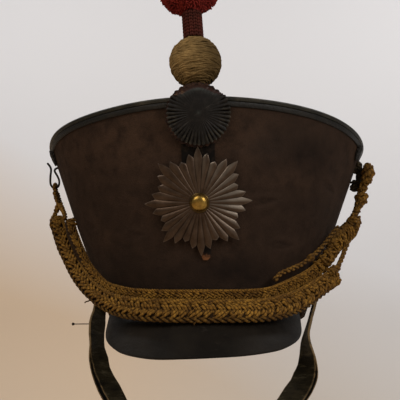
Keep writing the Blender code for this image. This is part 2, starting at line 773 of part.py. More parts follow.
CORD_RIGHT_ROWS = (
    # x, y, height, radius of the knotted bundle (mm)
    (130.4, -20.3, 87.2, 2.2),
    (131.0, -20.2, 88.8, 2.9),
    (132.4, -20.0, 92.4, 3.4),
    (135.0, -19.6, 98.3, 5.0),
    (135.8, -19.6, 104.5, 3.9),
    (138.0, -20.3, 110.4, 3.7),
    (140.4, -21.0, 115.8, 5.0),
    (141.6, -21.2, 121.0, 5.9),
    (142.4, -21.2, 126.0, 4.6),
    (142.8, -21.0, 129.6, 2.2),
)
CORD_RIGHT_SECTIONS = 15
CORD_RIGHT_LOOP = ((139.4, -13.8, 111.6), (137.4, -12.6, 111.0), (136.0, -9.6, 111.4), (135.6, -7.4, 114.0),
                   (135.8, -7.2, 117.2), (136.4, -9.2, 119.8), (137.0, -12.4, 120.6), (137.6, -14.0, 121.0))
CORD_RIGHT_END = ((105.4, -48.6, 33.2), (109.0, -45.4, 37.4), (113.6, -41.2, 44.0), (117.2, -37.8, 51.2),
                  (120.6, -34.4, 57.6))
CORD_RIGHT_BRANCH = ((56.4, -95.6, 15.4), (61.8, -91.4, 21.2), (70.6, -83.2, 26.2), (78.4, -75.6, 31.0),
                     (84.0, -70.6, 35.6), (89.6, -65.4, 40.8), (96.2, -58.8, 48.0), (102.4, -52.8, 56.4),
                     (107.6, -47.8, 63.2), (111.6, -44.0, 68.2))


def make_cords_right(parent):
    line = smooth_rows(CORD_RIGHT_ROWS, CORD_RIGHT_SECTIONS)
    sections = []
    for i, row in enumerate(line):
        along = Vector(line[min(i + 1, len(line) - 1)][:3]) - Vector(line[max(i - 1, 0)][:3])
        side = along.cross(Vector((0, 1, 0))).normalized()
        front = side.cross(along).normalized()
        angles = [math.tau * k / PLAIT_SIDES for k in range(PLAIT_SIDES)]
        sections.append([(Vector(row[:3]) + (side * math.cos(a) + front * math.sin(a)) * row[3]) * MM for a in angles])
    points, faces = loft(sections)
    add_mesh("cord_right", points, faces, gold_cord(), parent)

    routes = (
        # name, route, diameter, points
        ("cord_right_loop", CORD_RIGHT_LOOP, CORD, 13),
        ("cord_right_end", CORD_RIGHT_END, CORD, 14),
        ("cord_right_branch", CORD_RIGHT_BRANCH, BRANCH_CORD, 22),
    )
    for name, route, diameter, count in routes:
        path = smooth_rows([Vector(p) * MM for p in route], count)
        wire(name, path, diameter, gold_cord(), parent)


# ---------------------------------------------------------------- chin strap

STRAP_ROWS = (
    # x, y, height of the strap's middle, width (mm), turn of its width from fore-and-aft (degrees)
    (-95.2, -5.0, 22.0, 19.0, 4),
    (-93.6, -5.0, 9.0, 19.5, 17),
    (-94.8, -5.5, -4.0, 20.0, 33),
    (-95.0, -6.5, -20.0, 20.0, 32),
    (-90.6, -8.5, -45.0, 20.5, 62),
    (-77.4, -12.0, -70.0, 20.5, 66),
    (-60.5, -16.5, -97.0, 20.5, 52),
    (-34.0, -20.0, -118.5, 20.5, 36),
    (0.0, -22.0, -127.5, 20.5, 30),
    (31.0, -20.5, -116.5, 21.0, 42),
    (54.0, -16.5, -93.0, 21.5, 60),
    (71.0, -12.0, -71.0, 21.5, 72),
    (81.0, -9.5, -57.0, 21.5, 68),
    (85.0, -8.0, -43.0, 21.0, 50),
    (84.4, -6.5, -21.0, 20.0, 10),
    (88.2, -5.5, -6.0, 19.5, 3),
    (92.4, -5.0, 8.0, 19.0, 3),
    (94.8, -5.0, 20.0, 18.5, 2),
)
STRAP_SECTIONS = 52
PIN_PROFILE = (
    # radius, height up from its head (mm)
    (0, 0.0), (1.0, -0.3), (1.3, -1.2), (1.0, -2.1), (0.4, -2.6), (0.4, -15.2), (0, -15.2),
)
PIN_HEAD = Vector((-117.2, -6.0, -6.2)) * MM


def make_strap(parent):
    """One leather strap, sewn to the felt on both sides, that hangs in a loop and turns as it goes."""
    rows = [(x * MM, y * MM, z * MM, width * MM, turn) for x, y, z, width, turn in STRAP_ROWS]
    read = smooth_rows(rows, STRAP_SECTIONS)
    line = [Vector(row[:3]) for row in read]
    sections = []
    for i, row in enumerate(read):
        along = (line[min(i + 1, len(line) - 1)] - line[max(i - 1, 0)]).normalized()
        wide = Vector((0, 1, 0))
        wide = (wide - along * wide.dot(along)).normalized()
        wide = Matrix.Rotation(math.radians(row[4]), 3, along) @ wide
        thick = along.cross(wide).normalized()
        half_width = wide * row[3] / 2
        half_thick = thick * STRAP_THICKNESS / 2
        sections.append([line[i] - half_width - half_thick, line[i] + half_width - half_thick,
                         line[i] + half_width + half_thick, line[i] - half_width + half_thick])
    points, faces = loft(sections)
    add_mesh("chin_strap", points, faces, material("strap_leather", (0.011, 0.010, 0.007), 0.55), parent)

    sideways = Matrix.Translation(PIN_HEAD) @ Matrix.Rotation(math.radians(-90), 4, "Y")
    turned("strap_pin", PIN_PROFILE, iron_wire(), parent, sideways, sides=8)


# ---------------------------------------------------------------- the whole hat

def make_shako():
    for obj in list(bpy.data.objects):
        bpy.data.objects.remove(obj)
    hat = bpy.data.objects.new("shako", None)
    bpy.context.scene.collection.objects.link(hat)
    make_crown(hat)
    make_peak(hat)
    make_cockade_loop(hat)
    make_cockade(hat)
    make_star(hat)
    make_plume(hat)
    make_sides(hat)
    make_plait("plait_lower", LOWER_ROWS, LOWER_SWEEP, LOWER_PLAIT_THICKNESS, hat)
    make_plait("plait_upper", UPPER_ROWS, UPPER_SWEEP, UPPER_PLAIT_THICKNESS, hat)
    make_cord_left(hat)
    make_cords_right(hat)
    make_strap(hat)


make_shako()
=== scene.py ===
import math

import bmesh
import bpy
import numpy as np
from mathutils import Matrix, Vector


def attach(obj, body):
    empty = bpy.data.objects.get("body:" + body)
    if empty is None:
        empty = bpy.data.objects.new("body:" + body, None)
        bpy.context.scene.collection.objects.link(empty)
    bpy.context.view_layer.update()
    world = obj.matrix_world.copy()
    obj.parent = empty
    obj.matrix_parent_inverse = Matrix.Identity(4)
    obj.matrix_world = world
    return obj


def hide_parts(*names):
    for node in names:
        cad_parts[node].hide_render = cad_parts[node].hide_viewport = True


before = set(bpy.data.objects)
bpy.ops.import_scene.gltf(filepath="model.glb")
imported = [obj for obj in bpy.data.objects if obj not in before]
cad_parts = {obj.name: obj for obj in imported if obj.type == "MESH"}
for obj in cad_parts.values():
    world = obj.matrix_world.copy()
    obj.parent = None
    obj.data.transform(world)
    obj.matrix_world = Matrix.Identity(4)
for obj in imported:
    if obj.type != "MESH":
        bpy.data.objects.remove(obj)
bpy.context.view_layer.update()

# ---------------------------------------------------------------- camera
# The photograph was taken from below the edge of the felt, a little to the wearer's left of the
# middle, with a long lens that looks up at the hat.

CAMERA_PLACE = (0.0386, -0.7490, -0.0952)
CAMERA_PITCH = 14.94               # degrees up
CAMERA_TURN = 3.416                # degrees to its left
LENS, SENSOR_WIDTH = 77.65, 36     # millimetres
bpy.ops.object.camera_add(location=CAMERA_PLACE,
                          rotation=(math.radians(90 + CAMERA_PITCH), 0, math.radians(CAMERA_TURN)))
camera = bpy.context.object
camera.data.lens = LENS
camera.data.sensor_width = SENSOR_WIDTH
bpy.context.scene.camera = camera
bpy.context.scene.view_settings.view_transform = "Standard"


# ---------------------------------------------------------------- slung cords
# Two flat plaits of gold-coloured wool hang in a curve across the front, from hook to hook. Each is a
# braid of three strands of twisted yarn, with a smooth gimp sewn along its top edge.

GOLD_LIGHT = (0.395, 0.198, 0.029, 1)
GOLD_MIDDLE = (0.205, 0.096, 0.014, 1)
GOLD_DARK = (0.030, 0.013, 0.004, 1)
DIRTY_SHADED_LIGHT = (0.110, 0.076, 0.036, 1)
DIRTY_SHADED_MIDDLE = (0.044, 0.031, 0.016, 1)
DIRTY_SHADED_DARK = (0.007, 0.005, 0.004, 1)
FIBRE_TWIST = 2240.0               # radians that the fibres turn in a metre of yarn
SLING_HOOK = (0.139, -0.012)       # plan position that the plaits pull towards
HANG_STEP = 0.0006
BEAD = 0.0031                      # from one thick place of a twisted yarn to the next


def add_piece(name, mesh):
    """Puts a mesh in the scene as an object."""
    body = bpy.data.objects.new(name, mesh)
    bpy.context.scene.collection.objects.link(body)
    return body


def mark(mesh, name, values):
    """Gives every vertex a number under this name, for the finish to read."""
    mesh.attributes.new(name, "FLOAT", "POINT").data.foreach_set("value", np.array(values, np.float32))


def darker(colour, share):
    return tuple(part * share for part in colour[:3]) + (1,)


class Finish:
    """One material: patterns that follow the place on the object, and coats of colour over each other."""

    def __init__(self, name, roughness, **settings):
        self.material = bpy.data.materials.new(name)
        self.material.use_nodes = True
        self.shader = self.material.node_tree.nodes["Principled BSDF"]
        self.give(Roughness=roughness, **settings)
        self.where = self.lay_in("TexCoord").outputs["Object"]

    def join(self, value, socket):
        """Joins a node's output to a socket, or sets the socket to a plain value."""
        if isinstance(value, bpy.types.NodeSocket):
            self.material.node_tree.links.new(value, socket)
        else:
            socket.default_value = value

    def give(self, **inputs):
        """Sets or joins inputs of the shader. An underscore in a name stands for a space."""
        for key, value in inputs.items():
            self.join(value, self.shader.inputs[key.replace("_", " ")])

    def lay_in(self, kind, how=None, **inputs):
        """Adds one node. An underscore in a name stands for a space."""
        node = self.material.node_tree.nodes.new("ShaderNode" + kind)
        for key, value in (how or {}).items():
            setattr(node, key, value)
        for key, value in inputs.items():
            self.join(value, node.inputs[key.replace("_", " ")])
        return node

    def reckon(self, operation, *values):
        """A number worked out from one to three others."""
        node = self.lay_in("Math", {"operation": operation})
        for socket, value in zip(node.inputs, values):
            self.join(value, socket)
        return node.outputs[0]

    def times(self, first, second):
        return self.reckon("MULTIPLY", first, second)

    def times_plus(self, first, second, added):
        return self.reckon("MULTIPLY_ADD", first, second, added)

    def spread(self, value, low, high):
        """Stretches the part of a value between low and high to run from 0 to 1."""
        return self.lay_in("MapRange", {"clamp": True}, Value=value, From_Min=low, From_Max=high).outputs[0]

    def mottle(self, scale, detail=3.0, roughness=0.55, stretch=None):
        """Cloudy patches, 1 / scale metres wide."""
        where = self.where
        if stretch is not None:
            where = self.lay_in("Mapping", Vector=where, Scale=stretch).outputs[0]
        noise = self.lay_in("TexNoise", Vector=where, Scale=scale, Detail=detail, Roughness=roughness)
        return noise.outputs[0]

    def marked(self, name):
        """The numbers that the mesh was marked with under this name."""
        return self.lay_in("Attribute", {"attribute_name": name}).outputs["Fac"]

    def ridge(self):
        """Above 0.5 on ridges of the mesh, and below it in valleys."""
        return self.lay_in("NewGeometry").outputs["Pointiness"]

    def mix(self, share, first, second):
        """The first colour where share is 0, and the second where it is 1."""
        node = self.lay_in("Mix", {"data_type": "RGBA"})
        for socket, value in zip((node.inputs[0], node.inputs[6], node.inputs[7]), (share, first, second)):
            self.join(value, socket)
        return node.outputs[2]

    def dye(self, body, *coats):
        """Colours the object: a body colour under coats, each with the share of it that shows."""
        for share, colour in coats:
            body = self.mix(share, body, colour)
        self.give(Base_Color=body)

    def raise_grain(self, height, depth, strength=1.0):
        """Bump of the given depth in metres."""
        bump = self.lay_in("Bump", Height=height, Distance=depth, Strength=strength)
        self.give(Normal=bump.outputs[0])


def wool_cord_finish(name, light, middle, dark):
    """Twisted wool yarn, darkened by its marked dirt and by painted shade where a yarn lies under others in
    the plait.
    """
    wool = Finish(name, roughness=0.88, Sheen_Weight=0.05, Sheen_Roughness=0.5, Sheen_Tint=light,
                  Specular_IOR_Level=0.18)
    yarn = wool.lay_in("UVMap", {"uv_map": "yarn"}).outputs[0]
    split = wool.lay_in("SeparateXYZ", Vector=yarn)
    turn = wool.times_plus(split.outputs[0], FIBRE_TWIST, wool.times(split.outputs[1], math.tau))
    fibre = wool.times_plus(wool.reckon("SINE", turn), 0.5, 0.5)
    fade = wool.mottle(75.0, 4.0)
    blots = wool.mottle(330.0, 3.0, 0.6)
    specks = wool.mottle(1100.0, 2.0)
    # The last coat darkens each yarn by its marked painted shade and dirt.
    wool.dye(middle,
             (wool.spread(fade, 0.38, 0.66), light),
             (wool.times(wool.spread(blots, 0.50, 0.66), 0.70), dark),
             (wool.times(wool.spread(specks, 0.5, 0.72), 0.35), dark),
             (wool.times(fibre, 0.50), dark),
             (wool.times(wool.marked("painted_shade_and_dirt"), 0.95), darker(dark, 0.4)))
    wool.raise_grain(wool.times_plus(wool.mottle(2600.0, 2.0), 0.5, wool.times(fibre, -1.0)), 0.00020)
    return wool.material


def smooth_rows(rows, step):
    """Catmull-Rom curve through rows of numbers, the first three a point, read at even steps."""
    rows = np.array(rows, float)
    ends = np.vstack([2 * rows[0] - rows[1], rows, 2 * rows[-1] - rows[-2]])
    t = np.linspace(0, 1, 33)[:-1, None]
    fine = []
    for before, a, b, after in zip(ends, ends[1:], ends[2:], ends[3:]):
        fine.append(0.5 * (2 * a + (b - before) * t + (2 * before - 5 * a + 4 * b - after) * t ** 2
                           + (3 * a - before - 3 * b + after) * t ** 3))
    fine = np.vstack(fine + [rows[-1:]])
    along = distance(fine[:, :3])
    at = np.linspace(0, along[-1], max(2, round(along[-1] / step)))
    return np.stack([np.interp(at, along, column) for column in fine.T], axis=1)


def distance(line):
    """How far along a line each of its points is."""
    return np.concatenate([[0], np.cumsum(np.linalg.norm(np.diff(line, axis=0), axis=1))])


def unit(rows):
    return rows / np.maximum(np.linalg.norm(rows, axis=-1, keepdims=True), 1e-12)


def square_to(rows, along):
    """Directions turned as little as it takes to stand square to others."""
    return unit(rows - along * (rows * along).sum(1, keepdims=True))


def sling_depth(x, half_width, half_length):
    """Depth in plan of a plait that lies round the front and pulls straight to the hooks."""
    low, high = 0.0, half_width - 0.00001
    for _ in range(40):
        at = (low + high) / 2
        root = math.sqrt(1 - (at / half_width) ** 2)
        slope = half_length * at / half_width ** 2 / root
        if slope < (SLING_HOOK[1] + half_length * root) / (SLING_HOOK[0] - at):
            low = at
        else:
            high = at
    leave = -half_length * math.sqrt(1 - (low / half_width) ** 2)
    x = abs(x)
    if x <= low:
        return -half_length * math.sqrt(1 - (x / half_width) ** 2)
    return leave + (x - low) * (SLING_HOOK[1] - leave) / (SLING_HOOK[0] - low)


def hang(rows, sweep):
    """The middle line of a slung plait, its outward and upward directions and its width."""
    read = smooth_rows([(x, sling_depth(x, *sweep), z, width, lean) for x, z, width, lean in rows], HANG_STEP)
    line = read[:, :3]
    along = unit(np.gradient(line, axis=0))
    slope = np.array([sling_depth(x + 0.001, *sweep) - sling_depth(x - 0.001, *sweep) for x in line[:, 0]])
    out = unit(np.stack([slope, np.full(len(line), -0.002), np.zeros(len(line))], axis=1))
    out = square_to(out, along)
    up = np.cross(out, along)
    lean = np.radians(read[:, 4:5])
    leaned_out = out * np.cos(lean) + np.cross(along, out) * -np.sin(lean)
    leaned_up = up * np.cos(lean) + np.cross(along, up) * -np.sin(lean)
    return {"line": line, "out": leaned_out, "up": leaned_up, "width": read[:, 3]}


def part_of(hung, start, end):
    """The stretch of a hung plait between two shares of its length."""
    count = len(hung["line"])
    return {key: field[int(count * start):int(count * end)] for key, field in hung.items()}


class Skein:
    """Gathers yarns into one mesh, with a map of each yarn's length and turn, and how much painted shade and
    dirt darken it.
    """

    def __init__(self):
        self.points, self.faces, self.marks, self.painted_shade_and_dirt = [], [], [], []

    def lay(self, line, radius, sides=7, painted_shade_and_dirt=0.0, squash=1.0, flat=None, heart=None, top=None):
        """One yarn along a line. squash thins it across flat, the directions it is pressed in. It is painted
        darker towards heart, the line of the cord that it is a part of, and on the sides turned away from
        top: painted shade."""
        line = np.asarray(line, float)
        count = len(line)
        radius = np.broadcast_to(radius, count)
        painted_shade_and_dirt = np.broadcast_to(painted_shade_and_dirt, count)
        along = unit(np.gradient(line, axis=0))
        side = carried_side(along) if flat is None else square_to(flat, along)
        other = np.cross(along, side)
        angles = np.linspace(0, math.tau, sides, endpoint=False)
        ring = (np.cos(angles)[None, :, None] * side[:, None, :] * squash
                + np.sin(angles)[None, :, None] * other[:, None, :])
        points = line[:, None, :] + ring * radius[:, None, None]
        first = len(self.painted_shade_and_dirt)
        self.points.append(points.reshape(-1, 3))
        grime_and_shade = np.repeat(painted_shade_and_dirt[:, None], sides, axis=1)
        # Painted shade: darker towards the heart of the cord and on the sides turned away from top.
        if heart is not None:
            apart = np.linalg.norm(points - np.asarray(heart)[:, None, :], axis=2)
            grime_and_shade = grime_and_shade + 0.95 * np.clip(1.9 - 2.3 * apart / apart.max(axis=1, keepdims=True), 0, 1)
        if top is not None:
            grime_and_shade = grime_and_shade + 1.10 * np.clip(0.50 - (ring * top[:, None, :]).sum(axis=2), 0, 1)
        self.painted_shade_and_dirt += list(np.clip(grime_and_shade, 0, 1).ravel())
        run = distance(line)
        for i in range(count - 1):
            for k in range(sides):
                n = (k + 1) % sides
                a, b = first + i * sides, first + (i + 1) * sides
                self.faces.append((a + k, a + n, b + n, b + k))
                self.marks += [(run[i], k / sides), (run[i], (k + 1) / sides),
                               (run[i + 1], (k + 1) / sides), (run[i + 1], k / sides)]
        last = first + (count - 1) * sides
        self.faces += [tuple(range(first + sides - 1, first - 1, -1)), tuple(range(last, last + sides))]
        self.marks += [(0.0, 0.0)] * sides + [(run[-1], 0.0)] * sides

    def finish(self, name, material):
        """The skein as an object on the hat."""
        mesh = bpy.data.meshes.new(name)
        mesh.from_pydata(np.vstack(self.points).tolist(), [], self.faces)
        mesh.uv_layers.new(name="yarn").data.foreach_set("uv", np.array(self.marks, np.float32).ravel())
        mark(mesh, "painted_shade_and_dirt", self.painted_shade_and_dirt)
        mesh.shade_smooth()
        mesh.materials.append(material)
        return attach(add_piece(name, mesh), "root")


def carried_side(along):
    """A direction across a line, carried along it without twisting."""
    side = np.zeros_like(along)
    start = np.cross(along[0], (0.31, 0.17, 0.93))
    for i, heading in enumerate(along):
        start = start - heading * start.dot(heading)
        start /= np.linalg.norm(start)
        side[i] = start
    return side


def wander(count, seed, size, every):
    """A slow, seeded wobble, one new value each so many points."""
    draw = np.random.default_rng(seed)
    knots = draw.normal(0, size, max(4, count // every + 3))
    return np.interp(np.arange(count) / every, np.arange(len(knots)), knots)


def braid(skein, hung, band, period, yarns, yarn, depth, seed, grime_and_shade):
    """Three strands over and under each other, that fill the band between two shares of the width."""
    line, out, up, width = hung["line"], hung["out"], hung["up"], hung["width"][:, None]
    count = len(line)
    run = distance(line)
    half = (band[1] - band[0]) / 2 * width * (1 + wander(count, seed + 9, 0.04, 30)[:, None])
    middle = (band[0] + band[1]) / 2 * width
    gather = np.clip(np.minimum(run, run[-1] - run) / 0.009, 0.7, 1)[:, None]
    for strand in range(3):
        phase = (run / period + strand / 3) * math.tau + wander(count, seed + strand, 0.26, 22)
        across = np.sin(phase)[:, None]
        lift = -np.sin(2 * phase)[:, None]
        path = line + up * (middle + (half - yarns * yarn) * across) * gather + out * (lift * depth + 0.0003)
        side = unit(np.cross(unit(np.gradient(path, axis=0)), out))
        for number in range(yarns):
            place = number - (yarns - 1) / 2
            own = seed + 50 + 10 * strand + number
            bulge = out * (0.3 - 1.2 * (place / yarns) ** 2) * yarn
            wobble = (up * wander(count, own, 0.00016, 9)[:, None]
                      + out * wander(count, own + 7, 0.00020, 11)[:, None])
            twist = 1 + 0.13 * np.sin(run / BEAD * math.tau + own) + wander(count, own + 3, 0.06, 12)
            # Yarns are painted darker where their strand dives under the others: painted shade.
            painted_shade_and_dirt = np.clip(grime_and_shade - lift[:, 0] * 0.50 + wander(count, own + 5, 0.10, 16), 0, 1)
            skein.lay(path + side * place * yarn * 2.02 + bulge + wobble, yarn * 0.98 * twist, sides=8,
                      painted_shade_and_dirt=painted_shade_and_dirt, top=out)


def ply(skein, line, radius, plies, pitch, seed, thick=1.0, painted_shade_and_dirt=0.1):
    """A cord of two or more plies twisted together along a line."""
    line = np.asarray(line, float)
    count = len(line)
    along = unit(np.gradient(line, axis=0))
    side = carried_side(along)
    other = np.cross(along, side)
    ply_radius = radius * (0.52 if plies == 2 else 0.49) * thick
    for k in range(plies):
        angle = (distance(line) / pitch + k / plies) * math.tau
        reach = np.broadcast_to(radius - ply_radius, count)[:, None]
        offset = (np.cos(angle)[:, None] * side + np.sin(angle)[:, None] * other) * reach
        # heart=line paints each ply darker towards the middle of the cord: painted shade in the grooves.
        skein.lay(line + offset, ply_radius * (1 + wander(count, seed + k, 0.07, 9)), sides=8, painted_shade_and_dirt=painted_shade_and_dirt,
                  heart=line)


def wrap(skein, hung, thick, wide, yarn, pitch, seed, skew, painted_shade_and_dirt=0.10):
    """A yarn wound round a stretch of cord. thick and wide are half the size of its section. The turns slant
    to and fro, and they run the other way where pitch is negative."""
    line, out, up = hung["line"], hung["out"], hung["up"]
    run = distance(line)
    turns = run[-1] / abs(pitch)
    steps = int(turns * 18)
    share = np.linspace(0, 1, steps)
    angle = share * turns * math.copysign(math.tau, pitch)
    slant = np.sin(angle + 0.7) * yarn * 2.6 * wander(steps, seed, skew, 40)
    at = np.clip(share * run[-1] + slant, 0, run[-1])
    read = [np.stack([np.interp(at, run, column) for column in field.T], axis=1) for field in (line, out, up)]
    wide = np.interp(at, run, np.broadcast_to(wide, len(line)))
    thick = np.interp(at, run, np.broadcast_to(thick, len(line)))
    bulge = 1 + wander(steps, seed + 1, 0.07, 9)
    path = (read[0] + read[1] * (np.cos(angle) * thick * bulge)[:, None]
            + read[2] * (np.sin(angle) * wide * bulge)[:, None])
    # Turns are painted darker where they go round the back of the cord (painted shade), and some turns at
    # random.
    hidden = np.clip(0.3 - np.cos(angle) * 0.3, 0, 1) * 0.45 + np.abs(wander(steps, seed + 2, 0.17, 5))
    skein.lay(path, yarn * (1 + wander(steps, seed + 3, 0.10, 3)), sides=6, painted_shade_and_dirt=np.clip(painted_shade_and_dirt + hidden, 0, 1))


def hank(route):
    """A route with radii as a stretch of cord: its line and the directions out of and across it."""
    read = smooth_rows(route, HANG_STEP)
    along = unit(np.gradient(read[:, :3], axis=0))
    across = unit(np.cross(along, (0, 1, 0)))
    return {"line": read[:, :3], "out": np.cross(across, along), "up": across, "width": read[:, 3] * 2}


def knot(skein, place, size, yarn, seed):
    """A lump of crossing yarns round a place."""
    draw = np.random.default_rng(seed)
    level = np.linspace(-1, 1, 9)[:, None]
    # A dark lump in the middle: painted shade inside the knot.
    skein.lay(np.array(place) + np.hstack([level * 0, level * 0, level * size * 0.8]),
              (size - yarn) * 0.8 * np.sqrt(1.02 - level[:, 0] ** 2), sides=10, painted_shade_and_dirt=0.75)
    for k in range(5):
        tilt = np.linalg.qr(draw.normal(0, 1, (3, 3)))[0]
        angles = np.linspace(0, math.tau * 1.15, 22)
        ring = np.stack([np.cos(angles), np.sin(angles) * 0.8, 0.25 * np.sin(2 * angles + k)], axis=1)
        skein.lay(np.array(place) + ring * (size - yarn) @ tilt, yarn, sides=6, painted_shade_and_dirt=0.1 + 0.1 * k)


gold_cord = wool_cord_finish("old_gold_wool", GOLD_LIGHT, GOLD_MIDDLE, GOLD_DARK)

# The lower plait is the wide one. It pulls out of its curve at the right, where its end is bound.

LOWER_ROWS = (
    # x, height, width of the plait (metres), lean of its top towards the hat (degrees)
    (-0.1320, 0.0842, 0.0120, 48),
    (-0.1294, 0.0786, 0.0136, 49),
    (-0.1258, 0.0700, 0.0142, 50),
    (-0.1203, 0.0581, 0.0148, 47),
    (-0.1126, 0.0442, 0.0146, 43),
    (-0.1020, 0.0274, 0.0144, 36),
    (-0.0889, 0.0132, 0.0146, 29),
    (-0.0712, 0.0006, 0.0160, 25),
    (-0.0500, -0.0066, 0.0184, 25),
    (-0.0220, -0.0102, 0.0194, 26),
    (0.0220, -0.0108, 0.0194, 26),
    (0.0525, -0.0078, 0.0188, 24),
    (0.0750, 0.0015, 0.0175, 18),
    (0.0940, 0.0156, 0.0158, 10),
    (0.1040, 0.0234, 0.0150, 4),
    (0.1116, 0.0274, 0.0130, 0),
)
LOWER_SWEEP = (0.1022, 0.1178)     # half width and half length in plan of the curve that it lies on
LOWER_CORNER = (
    # x, y, height, radius of the bound cord at its right end
    (0.1010, -0.0540, 0.0275, 0.0030),
    (0.1048, -0.0504, 0.0306, 0.0033),
    (0.1078, -0.0478, 0.0322, 0.0034),
    (0.1102, -0.0458, 0.0322, 0.0028),
)
LOOSE_THREADS = (
    ((-0.0890, -0.0700, 0.0060), (-0.0905, -0.0712, 0.0042),
     (-0.0925, -0.0716, 0.0036), (-0.0938, -0.0716, 0.0026)),
    ((-0.0008, -0.1196, -0.0175), (-0.0020, -0.1206, -0.0192),
     (-0.0034, -0.1206, -0.0206), (-0.0028, -0.1204, -0.0212)),
)
hung = part_of(hang(LOWER_ROWS, LOWER_SWEEP), 0.0, 0.992)
skein = Skein()
edge = hung["up"] * hung["width"][:, None] * 0.39
braid(skein, hung, band=(-0.38, 0.36), period=0.0180, yarns=2, yarn=0.00118, depth=0.0017, seed=11, grime_and_shade=0.50)
gimp = hung["line"] + edge + hung["out"] * 0.0010
ply(skein, gimp, hung["width"] * 0.120, plies=3, pitch=0.0085, painted_shade_and_dirt=0.20, seed=21)
# The lower roll is painted darker: painted shade on the underside of the plait.
under_edge = hung["line"] - edge - hung["out"] * 0.0002
ply(skein, under_edge, hung["width"] * 0.112, plies=2, pitch=0.0118, painted_shade_and_dirt=0.56, seed=31)
# A dark flat core under the braid: painted shade in the gaps between the strands.
skein.lay(hung["line"][::4] - hung["out"][::4] * 0.0010, hung["width"][::4] * 0.42, sides=12, painted_shade_and_dirt=1.0,
          squash=0.26, flat=hung["out"][::4])
bound = part_of(hung, 0.95, 0.995)
wrap(skein, bound, thick=0.0033, wide=bound["width"] * 0.45, yarn=0.00090, pitch=0.0040, seed=41, skew=2.2)
bound = part_of(hung, 0.87, 0.99)
wrap(skein, bound, thick=0.0037, wide=bound["width"] * 0.44, yarn=0.00080, pitch=0.0110, seed=46, skew=2.6)
corner = hank(LOWER_CORNER)
ply(skein, corner["line"], corner["width"] / 2, plies=3, pitch=0.0200, painted_shade_and_dirt=0.2, seed=48)
wrap(skein, corner, thick=0.0030, wide=0.0031, yarn=0.00095, pitch=0.0056, seed=48, skew=2.4)
bound = part_of(hung, 0.0, 0.026)
wrap(skein, bound, thick=0.0030, wide=bound["width"] * 0.46, yarn=0.00090, pitch=0.0036, seed=47, skew=2.0)
for thread in LOOSE_THREADS:
    skein.lay(smooth_rows(thread, HANG_STEP), 0.00058, sides=5, painted_shade_and_dirt=0.75)
lower_plait = skein.finish("lower_plait", gold_cord)
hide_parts("plait_lower")

# The upper plait is narrower and lies against the felt. The lower one hides its lower half, and it
# swells into a bound lump below the right hook.

UPPER_ROWS = (
    # the same as for the lower plait
    (-0.1156, 0.0810, 0.0076, 30),
    (-0.1126, 0.0704, 0.0080, 40),
    (-0.1074, 0.0583, 0.0078, 46),
    (-0.1018, 0.0475, 0.0076, 42),
    (-0.0946, 0.0358, 0.0070, 34),
    (-0.0830, 0.0228, 0.0070, 16),
    (-0.0718, 0.0144, 0.0080, 2),
    (-0.0450, 0.0062, 0.0080, -12),
    (0.0000, 0.0029, 0.0082, -16),
    (0.0450, 0.0054, 0.0084, -12),
    (0.0665, 0.0140, 0.0095, -6),
    (0.0850, 0.0255, 0.0115, 0),
    (0.1005, 0.0410, 0.0115, 0),
    (0.1110, 0.0550, 0.0110, 0),
    (0.1196, 0.0655, 0.0150, 0),
    (0.1262, 0.0736, 0.0165, 0),
    (0.1294, 0.0840, 0.0095, 0),
)
UPPER_SWEEP = (0.0930, 0.1075)
SLIM = 0.0098                      # the braid itself gets no wider than this, also where the cord swells
hung = hang(UPPER_ROWS, UPPER_SWEEP)
skein = Skein()
# At the left end the plait is narrower and painted darker: painted shade where it lies behind the lower
# plait.
left_end = np.clip(1 - np.linspace(0, 1, len(hung["line"])) / 0.34, 0, 1) ** 0.5
slim = dict(hung, width=np.minimum(hung["width"], SLIM) * (1 - 0.16 * left_end))
braid(skein, slim, band=(-0.66, 0.30), period=0.0144, yarns=2, yarn=0.00090, depth=0.0012, seed=12,
      grime_and_shade=0.10 + 0.50 * left_end)
gimp = hung["line"] + hung["up"] * slim["width"][:, None] * 0.33 + hung["out"] * 0.0007
ply(skein, gimp, slim["width"] * 0.175, plies=3, pitch=0.0070, painted_shade_and_dirt=0.04 + 0.35 * left_end, seed=22)
left_end = left_end[:, None]
# A dark core: painted shade in the groove between the plaits, pushed down and widened at the left end.
core = (hung["line"] - hung["out"] * (0.0009 + 0.0008 * left_end) - hung["up"] * 0.0022 * left_end)[::4]
skein.lay(core, slim["width"][::4] * 0.46 + 0.0016 * left_end[::4, 0], sides=12, painted_shade_and_dirt=1.0, squash=0.5,
          flat=hung["out"][::4])
bound = part_of(hung, 0.84, 1.0)
swell = np.clip(bound["width"] * 0.46, 0, 0.0060)
wrap(skein, bound, thick=0.0030, wide=swell, yarn=0.00090, pitch=0.0052, seed=42, skew=2.4)
wrap(skein, bound, thick=0.0034, wide=swell * 0.9, yarn=0.00085, pitch=-0.0090, seed=43, skew=2.4)
bound = part_of(hung, 0.0, 0.02)
wrap(skein, bound, thick=0.0026, wide=bound["width"] * 0.50, yarn=0.00090, pitch=0.0034, seed=49, skew=1.6)
lump_place = hung["line"][int(len(hung["line"]) * 0.965)] + np.array((0.0020, -0.0010, 0.0014))
upper_plait = skein.finish("upper_plait", gold_cord)
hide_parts("plait_upper")

# At the right the cord goes on up as a thick knotted bundle, and a turn of it holds it to the hook. That
# turn is dark brown-black: dirt, and painted shade where it lies in shadow.

